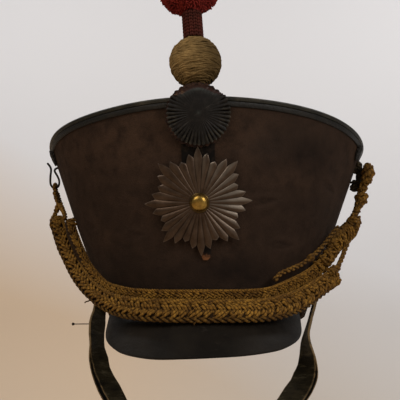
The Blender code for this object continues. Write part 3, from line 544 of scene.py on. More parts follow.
CORD = 0.0034                      # thickness of the thin cord
CORD_RIGHT_ROWS = (
    # x, y, height, radius of the knotted bundle
    (0.1304, -0.0203, 0.0872, 0.0022),
    (0.1310, -0.0202, 0.0888, 0.0029),
    (0.1324, -0.0200, 0.0924, 0.0034),
    (0.1350, -0.0196, 0.0983, 0.0050),
    (0.1358, -0.0196, 0.1045, 0.0039),
    (0.1380, -0.0203, 0.1104, 0.0037),
    (0.1404, -0.0210, 0.1158, 0.0050),
    (0.1416, -0.0212, 0.1210, 0.0059),
    (0.1424, -0.0212, 0.1260, 0.0046),
    (0.1428, -0.0210, 0.1296, 0.0022),
)
BUNDLE_KNOTS = (
    # place, size, seed
    ((0.1368, -0.0205, 0.0972), 0.0036, 91),
    ((0.1386, -0.0205, 0.1006), 0.0030, 92),
    ((0.1442, -0.0214, 0.1214), 0.0042, 93),
    ((0.1412, -0.0214, 0.1268), 0.0036, 94),
    ((0.1424, -0.0216, 0.1156), 0.0036, 95),
    (lump_place, 0.0054, 44),
)
bundle = hank(CORD_RIGHT_ROWS)
reach = bundle["width"] / 2 * (1 + wander(len(bundle["line"]), 64, 0.10, 5))
skein = Skein()
# A dark core: painted shade inside the bundle.
skein.lay(bundle["line"][::3], reach[::3] * 0.55, sides=10, painted_shade_and_dirt=0.9)
ply(skein, bundle["line"], reach, plies=3, pitch=0.019, thick=0.85, painted_shade_and_dirt=0.2, seed=66)
wrap(skein, bundle, thick=reach * 0.88, wide=reach * 0.88, yarn=0.00120, pitch=0.0060, seed=67, skew=2.0)
wrap(skein, bundle, thick=reach * 0.84, wide=reach * 0.84, yarn=0.00100, pitch=-0.0080, seed=68, skew=2.0)
for place, size, seed in BUNDLE_KNOTS:
    knot(skein, place, size, 0.0011, seed)
neck = hank([(*hung["line"][-24], 0.0030), (*hung["line"][-1], 0.0027),
             (*bundle["line"][8], 0.0027), (*bundle["line"][16], 0.0027)])
ply(skein, neck["line"], 0.0027, plies=3, pitch=0.0120, painted_shade_and_dirt=0.2, seed=51)
wrap(skein, neck, thick=0.0025, wide=0.0025, yarn=0.0010, pitch=0.0048, seed=52, skew=2.0, painted_shade_and_dirt=0.2)
swollen = part_of(hung, 0.80, 0.985)
for share, pitch, seed in ((0.45, 0.0100, 45), (0.42, -0.0130, 53)):
    wrap(skein, swollen, thick=0.0040, wide=swollen["width"] * share, yarn=0.0011, pitch=pitch, seed=seed,
         skew=2.8)
beside = part_of(hung, 0.845, 0.972)
taper = np.sin(np.linspace(0.35, math.pi - 0.5, len(beside["line"])))
beside["line"] = beside["line"] + beside["up"] * 0.0052 * taper[:, None] - beside["out"] * 0.0010
ply(skein, beside["line"], 0.0038 * taper, plies=3, pitch=0.0180, painted_shade_and_dirt=0.35, seed=54)
wrap(skein, beside, thick=0.0033 * taper, wide=0.0034 * taper, yarn=0.0009, pitch=0.0070, seed=50, skew=2.4,
     painted_shade_and_dirt=0.35)
right_knot = skein.finish("right_knot", gold_cord)
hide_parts("cord_right")

CORD_RIGHT_LOOP = (
    (0.1394, -0.0138, 0.1116), (0.1374, -0.0126, 0.1110), (0.1360, -0.0096, 0.1114),
    (0.1356, -0.0074, 0.1140), (0.1358, -0.0072, 0.1172), (0.1364, -0.0092, 0.1198),
    (0.1370, -0.0124, 0.1206), (0.1376, -0.0140, 0.1210),
)
LOOP_WINDING = ((0.1318, -0.0120, 0.1172), (0.1310, -0.0120, 0.1125), (0.1314, -0.0120, 0.1086))
LOOP_TAIL = ((0.1340, -0.0120, 0.1160), (0.1350, -0.0122, 0.1200),
             (0.1356, -0.0122, 0.1250), (0.1364, -0.0120, 0.1300))
LOOP_KNOTS = (
    # place, size, seed
    ((0.1364, -0.0124, 0.1262), 0.0042, 72),
    ((0.1324, -0.0116, 0.1268), 0.0040, 73),
    ((0.1352, -0.0124, 0.1108), 0.0036, 74),
    ((0.1352, -0.0120, 0.1316), 0.0034, 75),
    ((0.1352, -0.0122, 0.1222), 0.0028, 76),
)
dirty_shaded_cord = wool_cord_finish("dirty_shaded_wool", DIRTY_SHADED_LIGHT, DIRTY_SHADED_MIDDLE, DIRTY_SHADED_DARK)
# The loop's wool is dark partly with dirt and partly as painted shade.
loop = hank([(*place, CORD / 2) for place in CORD_RIGHT_LOOP])
skein = Skein()
ply(skein, loop["line"], CORD / 2, plies=3, pitch=0.0070, seed=65)
wrap(skein, loop, thick=CORD / 2, wide=CORD / 2, yarn=0.0005, pitch=0.0022, seed=69, skew=0.8)
winding = hank([(*place, CORD / 2) for place in LOOP_WINDING])
wrap(skein, winding, thick=0.0026, wide=0.0038, yarn=0.0009, pitch=0.0021, seed=70, skew=1.4)
# A dark core under the winding: painted shade.
skein.lay(winding["line"], 0.0028, sides=10, painted_shade_and_dirt=0.8)
ply(skein, smooth_rows(LOOP_TAIL, HANG_STEP), 0.0024, plies=3, pitch=0.0085, seed=71)
for place, size, seed in LOOP_KNOTS:
    knot(skein, place, size, 0.0009, seed)
right_loop = skein.finish("right_loop", dirty_shaded_cord)
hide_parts("cord_right_loop")

# Thinner cords: a doubled one hangs over the left hook, twists once round itself and parts to hold both
# plaits. A branch lies along the right part of the upper plait, and a thin end ties the lower one.

CORD_LEFT_OUTER = ((-0.1358, -0.0196, 0.0826), (-0.1346, -0.0186, 0.0860),
                   (-0.1332, -0.0176, 0.0900), (-0.1316, -0.0190, 0.0934))
CORD_LEFT_INNER = ((-0.1268, -0.0234, 0.0940), (-0.1242, -0.0272, 0.0900),
                   (-0.1216, -0.0316, 0.0850), (-0.1204, -0.0342, 0.0806))
OVER_HOOK = ((-0.0031, 0.1146), (-0.0024, 0.1174), (0.0, 0.1184), (0.0024, 0.1174), (0.0031, 0.1146))
OVER_HOOK_X = -0.1356
HOOK_Y = -0.0120
TWIST_FROM = np.array((-0.1290, -0.0212, 0.0970))
TWIST_TO = np.array((-0.1352, -0.0126, 0.1120))
TWIST_RADIUS = 0.00140
BRANCH_CORD = 0.0040
CORD_RIGHT_END = ((0.1086, -0.0470, 0.0318), (0.1112, -0.0446, 0.0368), (0.1146, -0.0408, 0.0440),
                  (0.1176, -0.0376, 0.0512), (0.1204, -0.0346, 0.0576))
CORD_RIGHT_BRANCH = ((0.0564, -0.0956, 0.0154), (0.0618, -0.0914, 0.0212), (0.0706, -0.0832, 0.0262),
                     (0.0784, -0.0756, 0.0310), (0.0840, -0.0706, 0.0356), (0.0896, -0.0654, 0.0408),
                     (0.0962, -0.0588, 0.0480), (0.1024, -0.0528, 0.0564), (0.1076, -0.0478, 0.0632),
                     (0.1116, -0.0440, 0.0682))


def twisted_leg(phase):
    """One of the two legs that hang side by side from the hook and cross at their foot, bottom first."""
    share = np.linspace(0, 1, 15)[:, None]
    half_turns = np.interp(share, (0, 0.14, 0.30, 0.82, 1), (1.5, 1.0, 0.5, 0.5, 0))
    angle = phase + math.pi * half_turns + 0.4 * np.sin(share * 17)
    round_it = np.hstack([np.cos(angle), np.sin(angle), np.zeros_like(angle)]) * TWIST_RADIUS
    return TWIST_FROM + (TWIST_TO - TWIST_FROM) * share + round_it


def cord_piece(name, node, route, diameter, plies, pitch, seed, grime_and_shade, knots=(),
               girth=lambda line: 1.0):
    """A twisted cord along a route, knotted at some shares of it."""
    line = smooth_rows(route, HANG_STEP)
    skein = Skein()
    ply(skein, line, diameter / 2 * girth(line), plies, pitch, painted_shade_and_dirt=grime_and_shade(line), seed=seed)
    for share in knots:
        knot(skein, line[int(len(line) * share)], diameter * 0.95, diameter * 0.20, seed + 3)
    made = skein.finish(name, gold_cord)
    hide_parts(node)


def left_dirt(line):
    """Of the two legs under the hook, the right one is black with grime."""
    middle = np.interp(line[:, 2], (TWIST_FROM[2], TWIST_TO[2]), (TWIST_FROM[0], TWIST_TO[0]))
    return np.where((line[:, 2] > 0.0985) & (line[:, 0] > middle), 0.95, 0.22)


over_hook = [(OVER_HOOK_X, HOOK_Y + y, z) for y, z in OVER_HOOK]
left_route = np.vstack([CORD_LEFT_OUTER, twisted_leg(-math.pi / 2)[1:], over_hook,
                        twisted_leg(math.pi / 2)[:0:-1], CORD_LEFT_INNER])
cord_piece("left_cord", "cord_left", left_route, CORD, plies=2, pitch=0.0068, seed=61,
           grime_and_shade=left_dirt,
           girth=lambda line: np.interp(line[:, 2], (0.0900, 0.0935, 0.1000), (1.30, 1.60, 1.08)))
cord_piece("right_branch", "cord_right_branch", CORD_RIGHT_BRANCH, BRANCH_CORD, plies=2, pitch=0.0105,
           seed=63, grime_and_shade=lambda line: 0.2 + 0.3 * np.linspace(0, 1, len(line)), knots=(0.50,))
cord_piece("right_end", "cord_right_end", CORD_RIGHT_END, CORD, plies=3, pitch=0.0130,
           seed=64, grime_and_shade=lambda line: 0.35, girth=lambda line: 1.30)

# ---------------------------------------------------------------- felt crown
# The body is one piece of blocked wool felt, 3 mm thick, an upright oval that widens to the top. It
# has sagged into shallow dents, cracked along a few folds and faded in patches.

FELT = 0.0030
FELT_TOP = 0.1420
RIM_HEIGHT = 0.1464
FOOT_OVAL = (0.0845, 0.0990)       # half width and half length at the bottom edge
RIM_OVAL = (0.1390, 0.1460)
FELT_COLUMNS, FELT_ROWS = 480, 84
DENTS = (
    # turn from the front (degrees), height, spread (degrees), rise, push outwards
    (-30, 0.140, 16, 0.070, -0.0013),
    (-58, 0.140, 15, 0.070, 0.0014),
    (45, 0.120, 18, 0.060, 0.0009),
    (-75, 0.080, 22, 0.040, 0.0011),
    (150, 0.100, 24, 0.050, -0.0016),
    (-120, 0.070, 20, 0.040, -0.0012),
)
CREASES = (
    # turn and height of one end, of the other end, depth of the fold
    (16, 0.0694, 38, 0.0797, 0.0008),
    (9, 0.1138, 20, 0.1096, 0.0007),
    (-35, 0.0521, -21, 0.0507, 0.0007),
    (-16, 0.1245, -12, 0.0878, 0.0004),
    (52, 0.0990, 70, 0.0920, 0.0007),
    (-62, 0.0700, -48, 0.0610, 0.0006),
    (30, 0.0420, 52, 0.0480, 0.0006),
    (128, 0.0820, 160, 0.0760, 0.0007),
    (-150, 0.0980, -124, 0.1050, 0.0007),
)
FADED = (
    # turn, height, spread, rise of a patch that has faded to red-brown, and how far
    (-26, 0.118, 24, 0.030, 0.50),
    (-10, 0.070, 14, 0.026, 0.30),
    (-44.6, 0.1004, 2.0, 0.0035, 1.00),
    (-30.3, 0.1281, 0.9, 0.0014, 1.00),
    (38, 0.0930, 8, 0.008, 0.85),
    (50, 0.0560, 9, 0.020, 0.35),
    (-72, 0.0600, 14, 0.030, 0.30),
    (172, 0.0900, 34, 0.034, 0.50),
    (118, 0.0700, 16, 0.022, 0.40),
    (-38, 0.1200, 36, 0.020, 0.50),
    (18, 0.1180, 22, 0.020, 0.35),
    (66, 0.1250, 14, 0.014, 0.35),
    (-60, 0.1200, 12, 0.016, 0.50),
)
ASHEN = (
    # the same for patches that are worn to grey
    (42, 0.122, 20, 0.020, 0.35),
    (24, 0.1130, 9, 0.011, 0.40),
    (62, 0.0800, 10, 0.020, 0.35),
    (-58, 0.0300, 16, 0.011, 0.30),
    (-140, 0.1150, 24, 0.018, 0.55),
)

DARKER_PATCHES = (
    # the same for patches that are darker
    (-52, 0.1120, 12, 0.016, 0.30),
    (40, 0.1150, 18, 0.016, 0.80),
    (0, 0.0180, 60, 0.012, 0.75),
    (48, 0.0650, 18, 0.026, 0.60),
    (-40, 0.0360, 12, 0.014, 0.55),
    (22, 0.0300, 12, 0.012, 0.50),
    (150, 0.0500, 30, 0.020, 0.70),
    (-140, 0.0600, 24, 0.024, 0.60),
)


DEGREE_RUN = 0.0021                # metres round the felt in one degree
FELT_BROWN = (0.0290, 0.0178, 0.0122, 1)
FELT_LIGHTER = (0.0400, 0.0240, 0.0162, 1)
FELT_RED_BROWN = (0.0600, 0.0345, 0.0220, 1)
FELT_ASH = (0.0480, 0.0360, 0.0290, 1)
FELT_PITS = (0.0060, 0.0040, 0.0030, 1)
FELT_DARKER_PATCH = (0.0105, 0.0075, 0.0062, 1)
FOLD_SHADE = (0.0070, 0.0045, 0.0035, 1)
FOLD_LIP_HIGHLIGHT = (0.0600, 0.0370, 0.0260, 1)


def oval(height):
    """Half width and half length of the felt at a height."""
    share = height / RIM_HEIGHT
    return tuple(low + (high - low) * share for low, high in zip(FOOT_OVAL, RIM_OVAL))


def turn_between(turn, other):
    """Degrees from one turn to another, the short way round."""
    return (turn - other + 180) % 360 - 180


def patches(rows, turn, height):
    """Sum of soft patches at a place on the wall."""
    total = 0.0
    for at_turn, at_height, spread, rise, much in rows:
        off = turn_between(turn, at_turn)
        total += much * math.exp(-(off / spread) ** 2 - ((height - at_height) / rise) ** 2)
    return total


def crease(turn, height):
    """Depth of the folds: a narrow groove between two low lips, that fades out at both ends."""
    total = 0.0
    for turn_a, height_a, turn_b, height_b, depth in CREASES:
        run = np.array(((turn_b - turn_a) * DEGREE_RUN, height_b - height_a))
        here = np.array((turn_between(turn, turn_a) * DEGREE_RUN, height - height_a))
        share = here.dot(run) / run.dot(run)
        if -0.1 < share < 1.1:
            bow = 0.0016 * math.sin(share * 5)
            off = abs(here[0] * run[1] - here[1] * run[0]) / np.linalg.norm(run) - bow
            fade = max(0.0, math.sin(math.pi * (share + 0.1) / 1.2))
            lips, groove = math.exp(-(off / 0.0042) ** 2), math.exp(-(off / 0.0013) ** 2)
            total += depth * fade * (0.5 * lips - groove)
    return total


def wall_out(turn, height):
    """Level direction straight out of the wall, turned from the front towards +X (radians)."""
    a, b = oval(height)
    return Vector((b * math.sin(turn), -a * math.cos(turn), 0)).normalized()


def wall_point(turn, height, proud=0.0):
    """A place on the outside of the wall, or so far proud of it."""
    a, b = oval(height)
    dented = patches(DENTS, math.degrees(turn), height)
    on_oval = Vector((a * math.sin(turn), -b * math.cos(turn), height))
    return on_oval + wall_out(turn, height) * (proud + dented)


def wall_frame(turn, height, proud):
    """Matrix with X across the wall, Y up its slope and Z straight out of it."""
    step = 0.001
    across = (wall_point(turn + step, height) - wall_point(turn - step, height)).normalized()
    up = (wall_point(turn, height + step) - wall_point(turn, height - step)).normalized()
    out = across.cross(up).normalized()
    place = Matrix.Translation(wall_point(turn, height) + out * proud)
    return place @ Matrix((across, out.cross(across), out)).transposed().to_4x4()


def pick(body):
    """Makes this the one object that the next steps work on."""
    bpy.ops.object.select_all(action="DESELECT")
    body.select_set(True)
    bpy.context.view_layer.objects.active = body


def open_up(body):
    """Opens a piece for editing with everything picked."""
    pick(body)
    bpy.ops.object.mode_set(mode="EDIT")
    bpy.ops.mesh.select_all(action="SELECT")


def begin_ring(name, columns):
    """A new piece, open for editing: one ring of edges with radius 1."""
    bpy.ops.mesh.primitive_circle_add(vertices=columns, radius=1, fill_type="NOTHING")
    body = bpy.context.object
    body.name = name
    body.data.name = name
    open_up(body)
    return body


def add_change(body, kind, **settings):
    """Adds a modifier and applies it at once."""
    pick(body)
    change = body.modifiers.new(kind.lower(), kind)
    for key, value in settings.items():
        setattr(change, key, value)
    bpy.ops.object.modifier_apply(modifier=change.name)


def face_out(body):
    open_up(body)
    bpy.ops.mesh.normals_make_consistent(inside=False)
    bpy.ops.object.mode_set(mode="OBJECT")


def complete(body, material, slot, *nodes, sharp=40):
    """Smooths the piece, dresses it and puts it on the hat in place of its CAD solids."""
    pick(body)
    bpy.ops.object.transform_apply(location=True, rotation=True, scale=True)
    bpy.ops.object.shade_smooth_by_angle(angle=math.radians(sharp))
    body.data.materials.clear()
    body.data.materials.append(material)
    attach(body, "root")
    if nodes:
        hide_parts(*nodes)
    return body


def tint(body, name, value_at):
    """Marks every vertex with a number worked out from where it is."""
    mark(body.data, name, [value_at(vertex.co) for vertex in body.data.vertices])


def wall_turn(place):
    """How far round the wall a place is, in degrees from the front."""
    a, b = oval(min(max(place.z, 0), RIM_HEIGHT))
    return math.degrees(math.atan2(place.x / a, -place.y / b))


crown = begin_ring("felt_crown", FELT_COLUMNS)
bpy.ops.transform.resize(value=(*FOOT_OVAL, 1))
for row in range(FELT_ROWS):
    low, high = oval(FELT_TOP * row / FELT_ROWS), oval(FELT_TOP * (row + 1) / FELT_ROWS)
    bpy.ops.mesh.extrude_edges_move(TRANSFORM_OT_translate={"value": (0, 0, FELT_TOP / FELT_ROWS)})
    bpy.ops.transform.resize(value=(high[0] / low[0], high[1] / low[1], 1), center_override=(0, 0, 0))
bpy.ops.object.mode_set(mode="OBJECT")
face_out(crown)
add_change(crown, "SOLIDIFY", thickness=FELT, offset=-1)
for vertex in crown.data.vertices:
    turn, height = wall_turn(vertex.co), vertex.co.z
    vertex.co += wall_out(math.radians(turn), height) * (patches(DENTS, turn, height) + crease(turn, height))
tint(crown, "folded", lambda place: crease(wall_turn(place), place.z) / 0.0006)
for name, rows in (("darker_patch", DARKER_PATCHES), ("faded", FADED), ("ashen", ASHEN)):
    tint(crown, name, lambda place: patches(rows, wall_turn(place), place.z))

felt = Finish("brown_black_felt", roughness=0.95, Specular_IOR_Level=0.06)
clouds = felt.mottle(26.0, 5.0, 0.62)
blots = felt.mottle(95.0, 4.0, 0.6)
fuzz = felt.mottle(900.0, 3.0, 0.7)
folded = felt.marked("folded")
wear = felt.times_plus(felt.marked("faded"), 0.9, felt.spread(clouds, 0.46, 0.78))
# The last two coats are painted light: painted shade in the groove of each crease and a painted highlight on
# its lips.
felt.dye(FELT_BROWN,
         (felt.spread(blots, 0.35, 0.70), FELT_LIGHTER),
         (felt.times(wear, felt.spread(blots, 0.30, 0.62)), FELT_RED_BROWN),
         (felt.times(felt.marked("ashen"), felt.spread(fuzz, 0.35, 0.65)), FELT_ASH),
         (felt.times(felt.spread(fuzz, 0.45, 0.80), 0.35), FELT_PITS),
         (felt.times(felt.marked("darker_patch"), felt.spread(clouds, 0.25, 0.65)), FELT_DARKER_PATCH),
         (felt.times(felt.spread(folded, -0.05, -0.9), 0.40), FOLD_SHADE),
         (felt.times(felt.spread(folded, 0.05, 0.7), 0.5), FOLD_LIP_HIGHLIGHT))
felt.raise_grain(felt.times_plus(blots, 1.4, fuzz), 0.0007, 0.8)
complete(crown, felt.material, "felt", "crown_wall", sharp=60)

# ---------------------------------------------------------------- leather top
# A disc of black leather closes the crown. It has sunk a few millimetres in the middle.

LEATHER_BLACK = (0.0090, 0.0080, 0.0062, 1)
LEATHER_RUBBED = (0.0260, 0.0210, 0.0150, 1)
LID_COLUMNS = 288
LID_TOP = 0.1443
LID_THICKNESS = 0.0020
LID_SAG = ((0.0, 0.0044), (0.4, 0.0038), (0.75, 0.0018), (0.955, 0.0), (1.0, 0.0))


def leather_finish(name, colour, lightened, roughness, grain=900.0, crackle=260.0):
    """Old oiled leather: fine grain, a net of cracks and places worn lighter."""
    hide = Finish(name, roughness=roughness, Specular_IOR_Level=0.28)
    clouds = hide.mottle(45.0, 4.0)
    pores = hide.mottle(grain, 2.0)
    cells = hide.lay_in("TexVoronoi", {"feature": "DISTANCE_TO_EDGE"}, Vector=hide.where, Scale=crackle)
    crack = hide.spread(cells.outputs["Distance"], 0.10, 0.0)
    hide.dye(colour,
             (hide.spread(clouds, 0.50, 0.75), lightened),
             (hide.times(crack, 0.6), darker(colour, 0.35)))
    hide.give(Roughness=hide.times_plus(clouds, 0.35, roughness - 0.17))
    hide.raise_grain(hide.times_plus(crack, -0.8, hide.times_plus(clouds, 2.0, pores)), 0.00025, 0.7)
    return hide.material


def fill_in(shares):
    """Fills the ring that is open for editing: a ring at each share of its radius, and a middle point."""
    reach = 1.0
    for share in shares:
        bpy.ops.mesh.extrude_edges_move(TRANSFORM_OT_translate={"value": (0, 0, 0)})
        bpy.ops.transform.resize(value=(share / reach, share / reach, 1))
        reach = share
    bpy.ops.mesh.extrude_edges_move(TRANSFORM_OT_translate={"value": (0, 0, 0)})
    bpy.ops.mesh.merge(type="CENTER")
    bpy.ops.object.mode_set(mode="OBJECT")


def thicken(body, thickness, towards=(0, 0, 1)):
    """Gives an open sheet its thickness, away from the side that faces towards a direction."""
    if body.data.polygons[0].normal.dot(Vector(towards)) < 0:
        body.data.flip_normals()
    add_change(body, "SOLIDIFY", thickness=thickness, offset=-1)


black_leather = leather_finish("black_leather", LEATHER_BLACK, LEATHER_RUBBED, roughness=0.50)
lid = begin_ring("leather_top", LID_COLUMNS)
fill_in((0.985, 0.955, 0.90, 0.82, 0.75, 0.65, 0.52, 0.40, 0.27, 0.14, 0.04))
for vertex in lid.data.vertices:
    share = math.hypot(vertex.co.x, vertex.co.y)
    edge = wall_point(math.atan2(vertex.co.x, -vertex.co.y), LID_TOP - LID_THICKNESS)
    sag = np.interp(share, *zip(*LID_SAG))
    vertex.co = (edge.x * share, edge.y * share, LID_TOP - sag)
thicken(lid, LID_THICKNESS)
complete(lid, black_leather, "black_leather", "crown_top")

# ---------------------------------------------------------------- band and rolled edge
# A narrow leather band runs round the top of the felt, and a rolled leather binding closes the edge of
# the disc above it. The binding has cracked into thin lines and is rubbed to olive.


def rim_ring(name, section, columns):
    """A closed ring of the given section: pairs of the distance out of the wall and the height."""
    ring = begin_ring(name, columns)
    for _ in section[1:]:
        bpy.ops.mesh.extrude_edges_move(TRANSFORM_OT_translate={"value": (0, 0, 1)})
    bpy.ops.mesh.select_mode(type="EDGE")
    bpy.ops.mesh.select_all(action="DESELECT")
    bpy.ops.mesh.select_non_manifold()
    bpy.ops.mesh.bridge_edge_loops()
    bpy.ops.object.mode_set(mode="OBJECT")
    for vertex in ring.data.vertices:
        proud, height = section[round(vertex.co.z)]
        vertex.co = wall_point(math.atan2(vertex.co.x, -vertex.co.y), height, proud)
    face_out(ring)
    return ring


BAND_SECTION = (
    (0.0003, 0.1392), (0.0012, 0.1393), (0.0014, 0.1397),
    (0.0015, 0.1423), (0.0013, 0.1427), (0.0003, 0.1429),
)
BINDING_SECTION = (
    (0.0003, 0.1433), (0.0013, 0.1432), (0.0018, 0.1436), (0.00165, 0.1441), (0.0020, 0.1445),
    (0.0021, 0.1450), (0.0018, 0.1455), (0.0015, 0.1459), (0.0009, 0.1463), (-0.0004, 0.14645),
    (-0.0013, 0.1462), (-0.0021, 0.1459), (-0.0024, 0.1453), (-0.0024, 0.1446), (0.0003, 0.1446),
)
BINDING_BLACK = (0.0150, 0.0140, 0.0095, 1)
BINDING_OLIVE = (0.0750, 0.0640, 0.0420, 1)
band = rim_ring("top_band", BAND_SECTION, columns=384)
complete(band, black_leather, "black_leather", "top_band")
binding = rim_ring("rolled_edge", BINDING_SECTION, columns=480)
binding_leather = leather_finish("rubbed_binding_leather", BINDING_BLACK, BINDING_OLIVE, roughness=0.42,
                                 grain=1400.0, crackle=520.0)
complete(binding, binding_leather, "binding_leather", "rim_binding", sharp=70)

# ---------------------------------------------------------------- peak
# The visor is one cut of thick leather, sewn inside the foot of the felt and pressed down in front.
# It is black, and scuffed lighter in places.

PEAK_ROUNDED = 0.0005              # how far its cut edges are rounded
PEAK_BLACK = (0.0062, 0.0044, 0.0030, 1)
PEAK_LIGHTER = (0.0140, 0.0102, 0.0066, 1)
PEAK_SCUFF = (0.0400, 0.0310, 0.0240, 1)
solid_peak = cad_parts["peak"]
peak = add_piece("leather_peak", solid_peak.data.copy())
peak.data.name = "leather_peak"
peak.data.transform(solid_peak.matrix_world)
open_up(peak)
bpy.ops.mesh.remove_doubles(threshold=0.00001)
bpy.ops.mesh.tris_convert_to_quads(face_threshold=math.radians(40), shape_threshold=math.radians(60))
bpy.ops.object.mode_set(mode="OBJECT")
add_change(peak, "BEVEL", width=PEAK_ROUNDED, segments=2, limit_method="ANGLE", angle_limit=math.radians(50))
add_change(peak, "SUBSURF", levels=2, render_levels=2)
peak_leather = Finish("peak_leather", roughness=0.58, Specular_IOR_Level=0.10)
clouds = peak_leather.mottle(30.0, 5.0, 0.6)
pores = peak_leather.mottle(700.0, 3.0)
scuffs = peak_leather.mottle(60.0, 6.0, 0.75, stretch=(1.0, 1.0, 3.0))
peak_leather.dye(PEAK_BLACK,
                 (peak_leather.spread(clouds, 0.38, 0.70), PEAK_LIGHTER),
                 (peak_leather.spread(scuffs, 0.60, 0.80), PEAK_SCUFF))
peak_leather.give(Roughness=peak_leather.times_plus(scuffs, 0.5, 0.34))
peak_leather.raise_grain(peak_leather.times_plus(clouds, 3.0, pores), 0.00030, 0.8)
complete(peak, peak_leather.material, "peak_leather", "peak", sharp=50)

# ---------------------------------------------------------------- strap behind the cockade and the star
# A leather strap lies flat on the felt down the middle, wide under the cockade, and ends in a narrow
# tip that shows below the star.

TAB_LIFT = 0.0004
TAB_THICKNESS = 0.0016
TAB_ROWS = (
    # height, middle of the strap from the centre line, half of its width
    (0.1386, 0.0005, 0.0125),
    (0.0760, 0.0005, 0.0123),
    (0.0620, 0.0018, 0.0085),
    (0.0460, 0.0040, 0.0042),
    (0.0330, 0.0050, 0.0036),
    (0.0312, 0.0050, 0.0032),
    (0.0292, 0.0046, 0.0016),
)
TAB_CROWNED = 0.00025              # how much it is raised in its middle
TAB_BLACK = (0.0070, 0.0055, 0.0045, 1)
TAB_WORN = (0.0190, 0.0130, 0.0095, 1)
TAB_BARE = (0.1500, 0.0620, 0.0260, 1)
bpy.ops.mesh.primitive_grid_add(x_subdivisions=10, y_subdivisions=96, size=2)
tab = bpy.context.object
tab.name = "cockade_strap"
tab.data.name = "cockade_strap"
heights, middles, halves = (np.array(column)[::-1] for column in zip(*TAB_ROWS))
for vertex in tab.data.vertices:
    share, height = vertex.co.x, heights[0] + (heights[-1] - heights[0]) * (vertex.co.y + 1) / 2
    across = np.interp(height, heights, middles) + np.interp(height, heights, halves) * share
    proud = TAB_LIFT + TAB_THICKNESS - TAB_CROWNED + TAB_CROWNED * (1 - abs(share) ** 4)
    vertex.co = wall_frame(across / oval(height)[0], height, proud).translation
thicken(tab, TAB_THICKNESS, towards=(0, -1, 0))
tab_leather = Finish("worn_tab_leather", roughness=0.7, Specular_IOR_Level=0.06)
rise = tab_leather.lay_in("SeparateXYZ", Vector=tab_leather.where).outputs[2]
rag = tab_leather.mottle(240.0, 4.0)
bare = tab_leather.spread(tab_leather.times_plus(tab_leather.mottle(300.0), 0.010, rise), 0.0380, 0.0355)
tab_leather.dye(TAB_BLACK, (tab_leather.spread(rag, 0.50, 0.72), TAB_WORN), (bare, TAB_BARE))
tab_leather.raise_grain(rag, 0.0003, 0.7)
complete(tab, tab_leather.material, "black_leather", "cockade_loop")

# ---------------------------------------------------------------- chin strap
# One strap of black leather, 20 mm wide and some 2 mm thick, sewn to the felt on both sides. It hangs
# in a loop and twists as it goes, and its cut edge shows tan.

STRAP_THICKNESS = 0.0022
EDGE_THINNED = 0.82                # share of the thickness that is left at the rounded edges
STRAP_CURL = 0.0006                # how far the edges are raised
STRAP_WAVE = 0.00050               # how uneven the edges and the surface are
FOLDED_STEP = 0.0007               # how far the folded margin lies below the rest
STRAP_ROWS = (
    # x, y, height, width, turn round its own run from lying fore and aft (degrees)
    (-0.0952, -0.0050, 0.0220, 0.0190, 4),
    (-0.0936, -0.0050, 0.0090, 0.0195, 17),
    (-0.0948, -0.0055, -0.0040, 0.0200, 27),
    (-0.0950, -0.0065, -0.0200, 0.0200, 25),
    (-0.0906, -0.0085, -0.0450, 0.0205, 47),
    (-0.0774, -0.0120, -0.0700, 0.0205, 52),
    (-0.0605, -0.0165, -0.0970, 0.0205, 52),
    (-0.0340, -0.0200, -0.1185, 0.0205, 36),
    (0.0000, -0.0220, -0.1275, 0.0205, 30),
    (0.0310, -0.0205, -0.1165, 0.0210, 42),
    (0.0540, -0.0165, -0.0930, 0.0215, 60),
    (0.0710, -0.0120, -0.0710, 0.0215, 72),
    (0.0810, -0.0095, -0.0570, 0.0215, 68),
    (0.0850, -0.0080, -0.0430, 0.0210, 50),
    (0.0844, -0.0065, -0.0210, 0.0200, 10),
    (0.0882, -0.0055, -0.0060, 0.0195, 3),
    (0.0924, -0.0050, 0.0080, 0.0190, 3),
    (0.0948, -0.0050, 0.0200, 0.0185, 2),
)
STRAP_COLUMNS = 24
# On the left a crease folds the front margin back, and its cut edge shows as a tan line.
CREASE_LEFT = (
    # how far below the foot of the felt, and where the crease runs: 0 in the middle, 1 at the edge
    (0.018, 1.15),
    (0.027, 0.98),
    (0.042, 0.60),
    (0.125, 0.66),
)
CREASE_RIGHT = (
    (0.030, 1.15),
    (0.040, 0.88),
    (0.052, 0.74),
    (0.125, 0.80),
)
STRAP_BLACK = (0.0140, 0.0110, 0.0052, 1)
STRAP_BROWN = (0.0430, 0.0330, 0.0160, 1)
STRAP_SHADE = (0.0050, 0.0040, 0.0022, 1)
STRAP_RUBBED = (0.0820, 0.0680, 0.0400, 1)
STRAP_UNDER = (0.0040, 0.0034, 0.0024, 1)
STRAP_TAN = (0.2100, 0.1400, 0.0650, 1)
read = smooth_rows(STRAP_ROWS, 0.0012)
line = read[:, :3]
along = unit(np.gradient(line, axis=0))
fore = np.tile((0.0, 1.0, 0.0), (len(line), 1))
fore = square_to(fore, along)
turn = np.radians(read[:, 4:5])
wide = fore * np.cos(turn) + np.cross(along, fore) * np.sin(turn)
thick = unit(np.cross(along, wide))
points, cut, beyond = [], [], []
left_crease, right_crease = (np.interp(-line[:, 2], *zip(*rows)) for rows in (CREASE_LEFT, CREASE_RIGHT))
crease_at = np.where(line[:, 0] < 0, left_crease, right_crease) + wander(len(line), 75, 0.035, 7)
wave = [wander(len(line), 71 + k, STRAP_WAVE, 8) for k in range(3)]
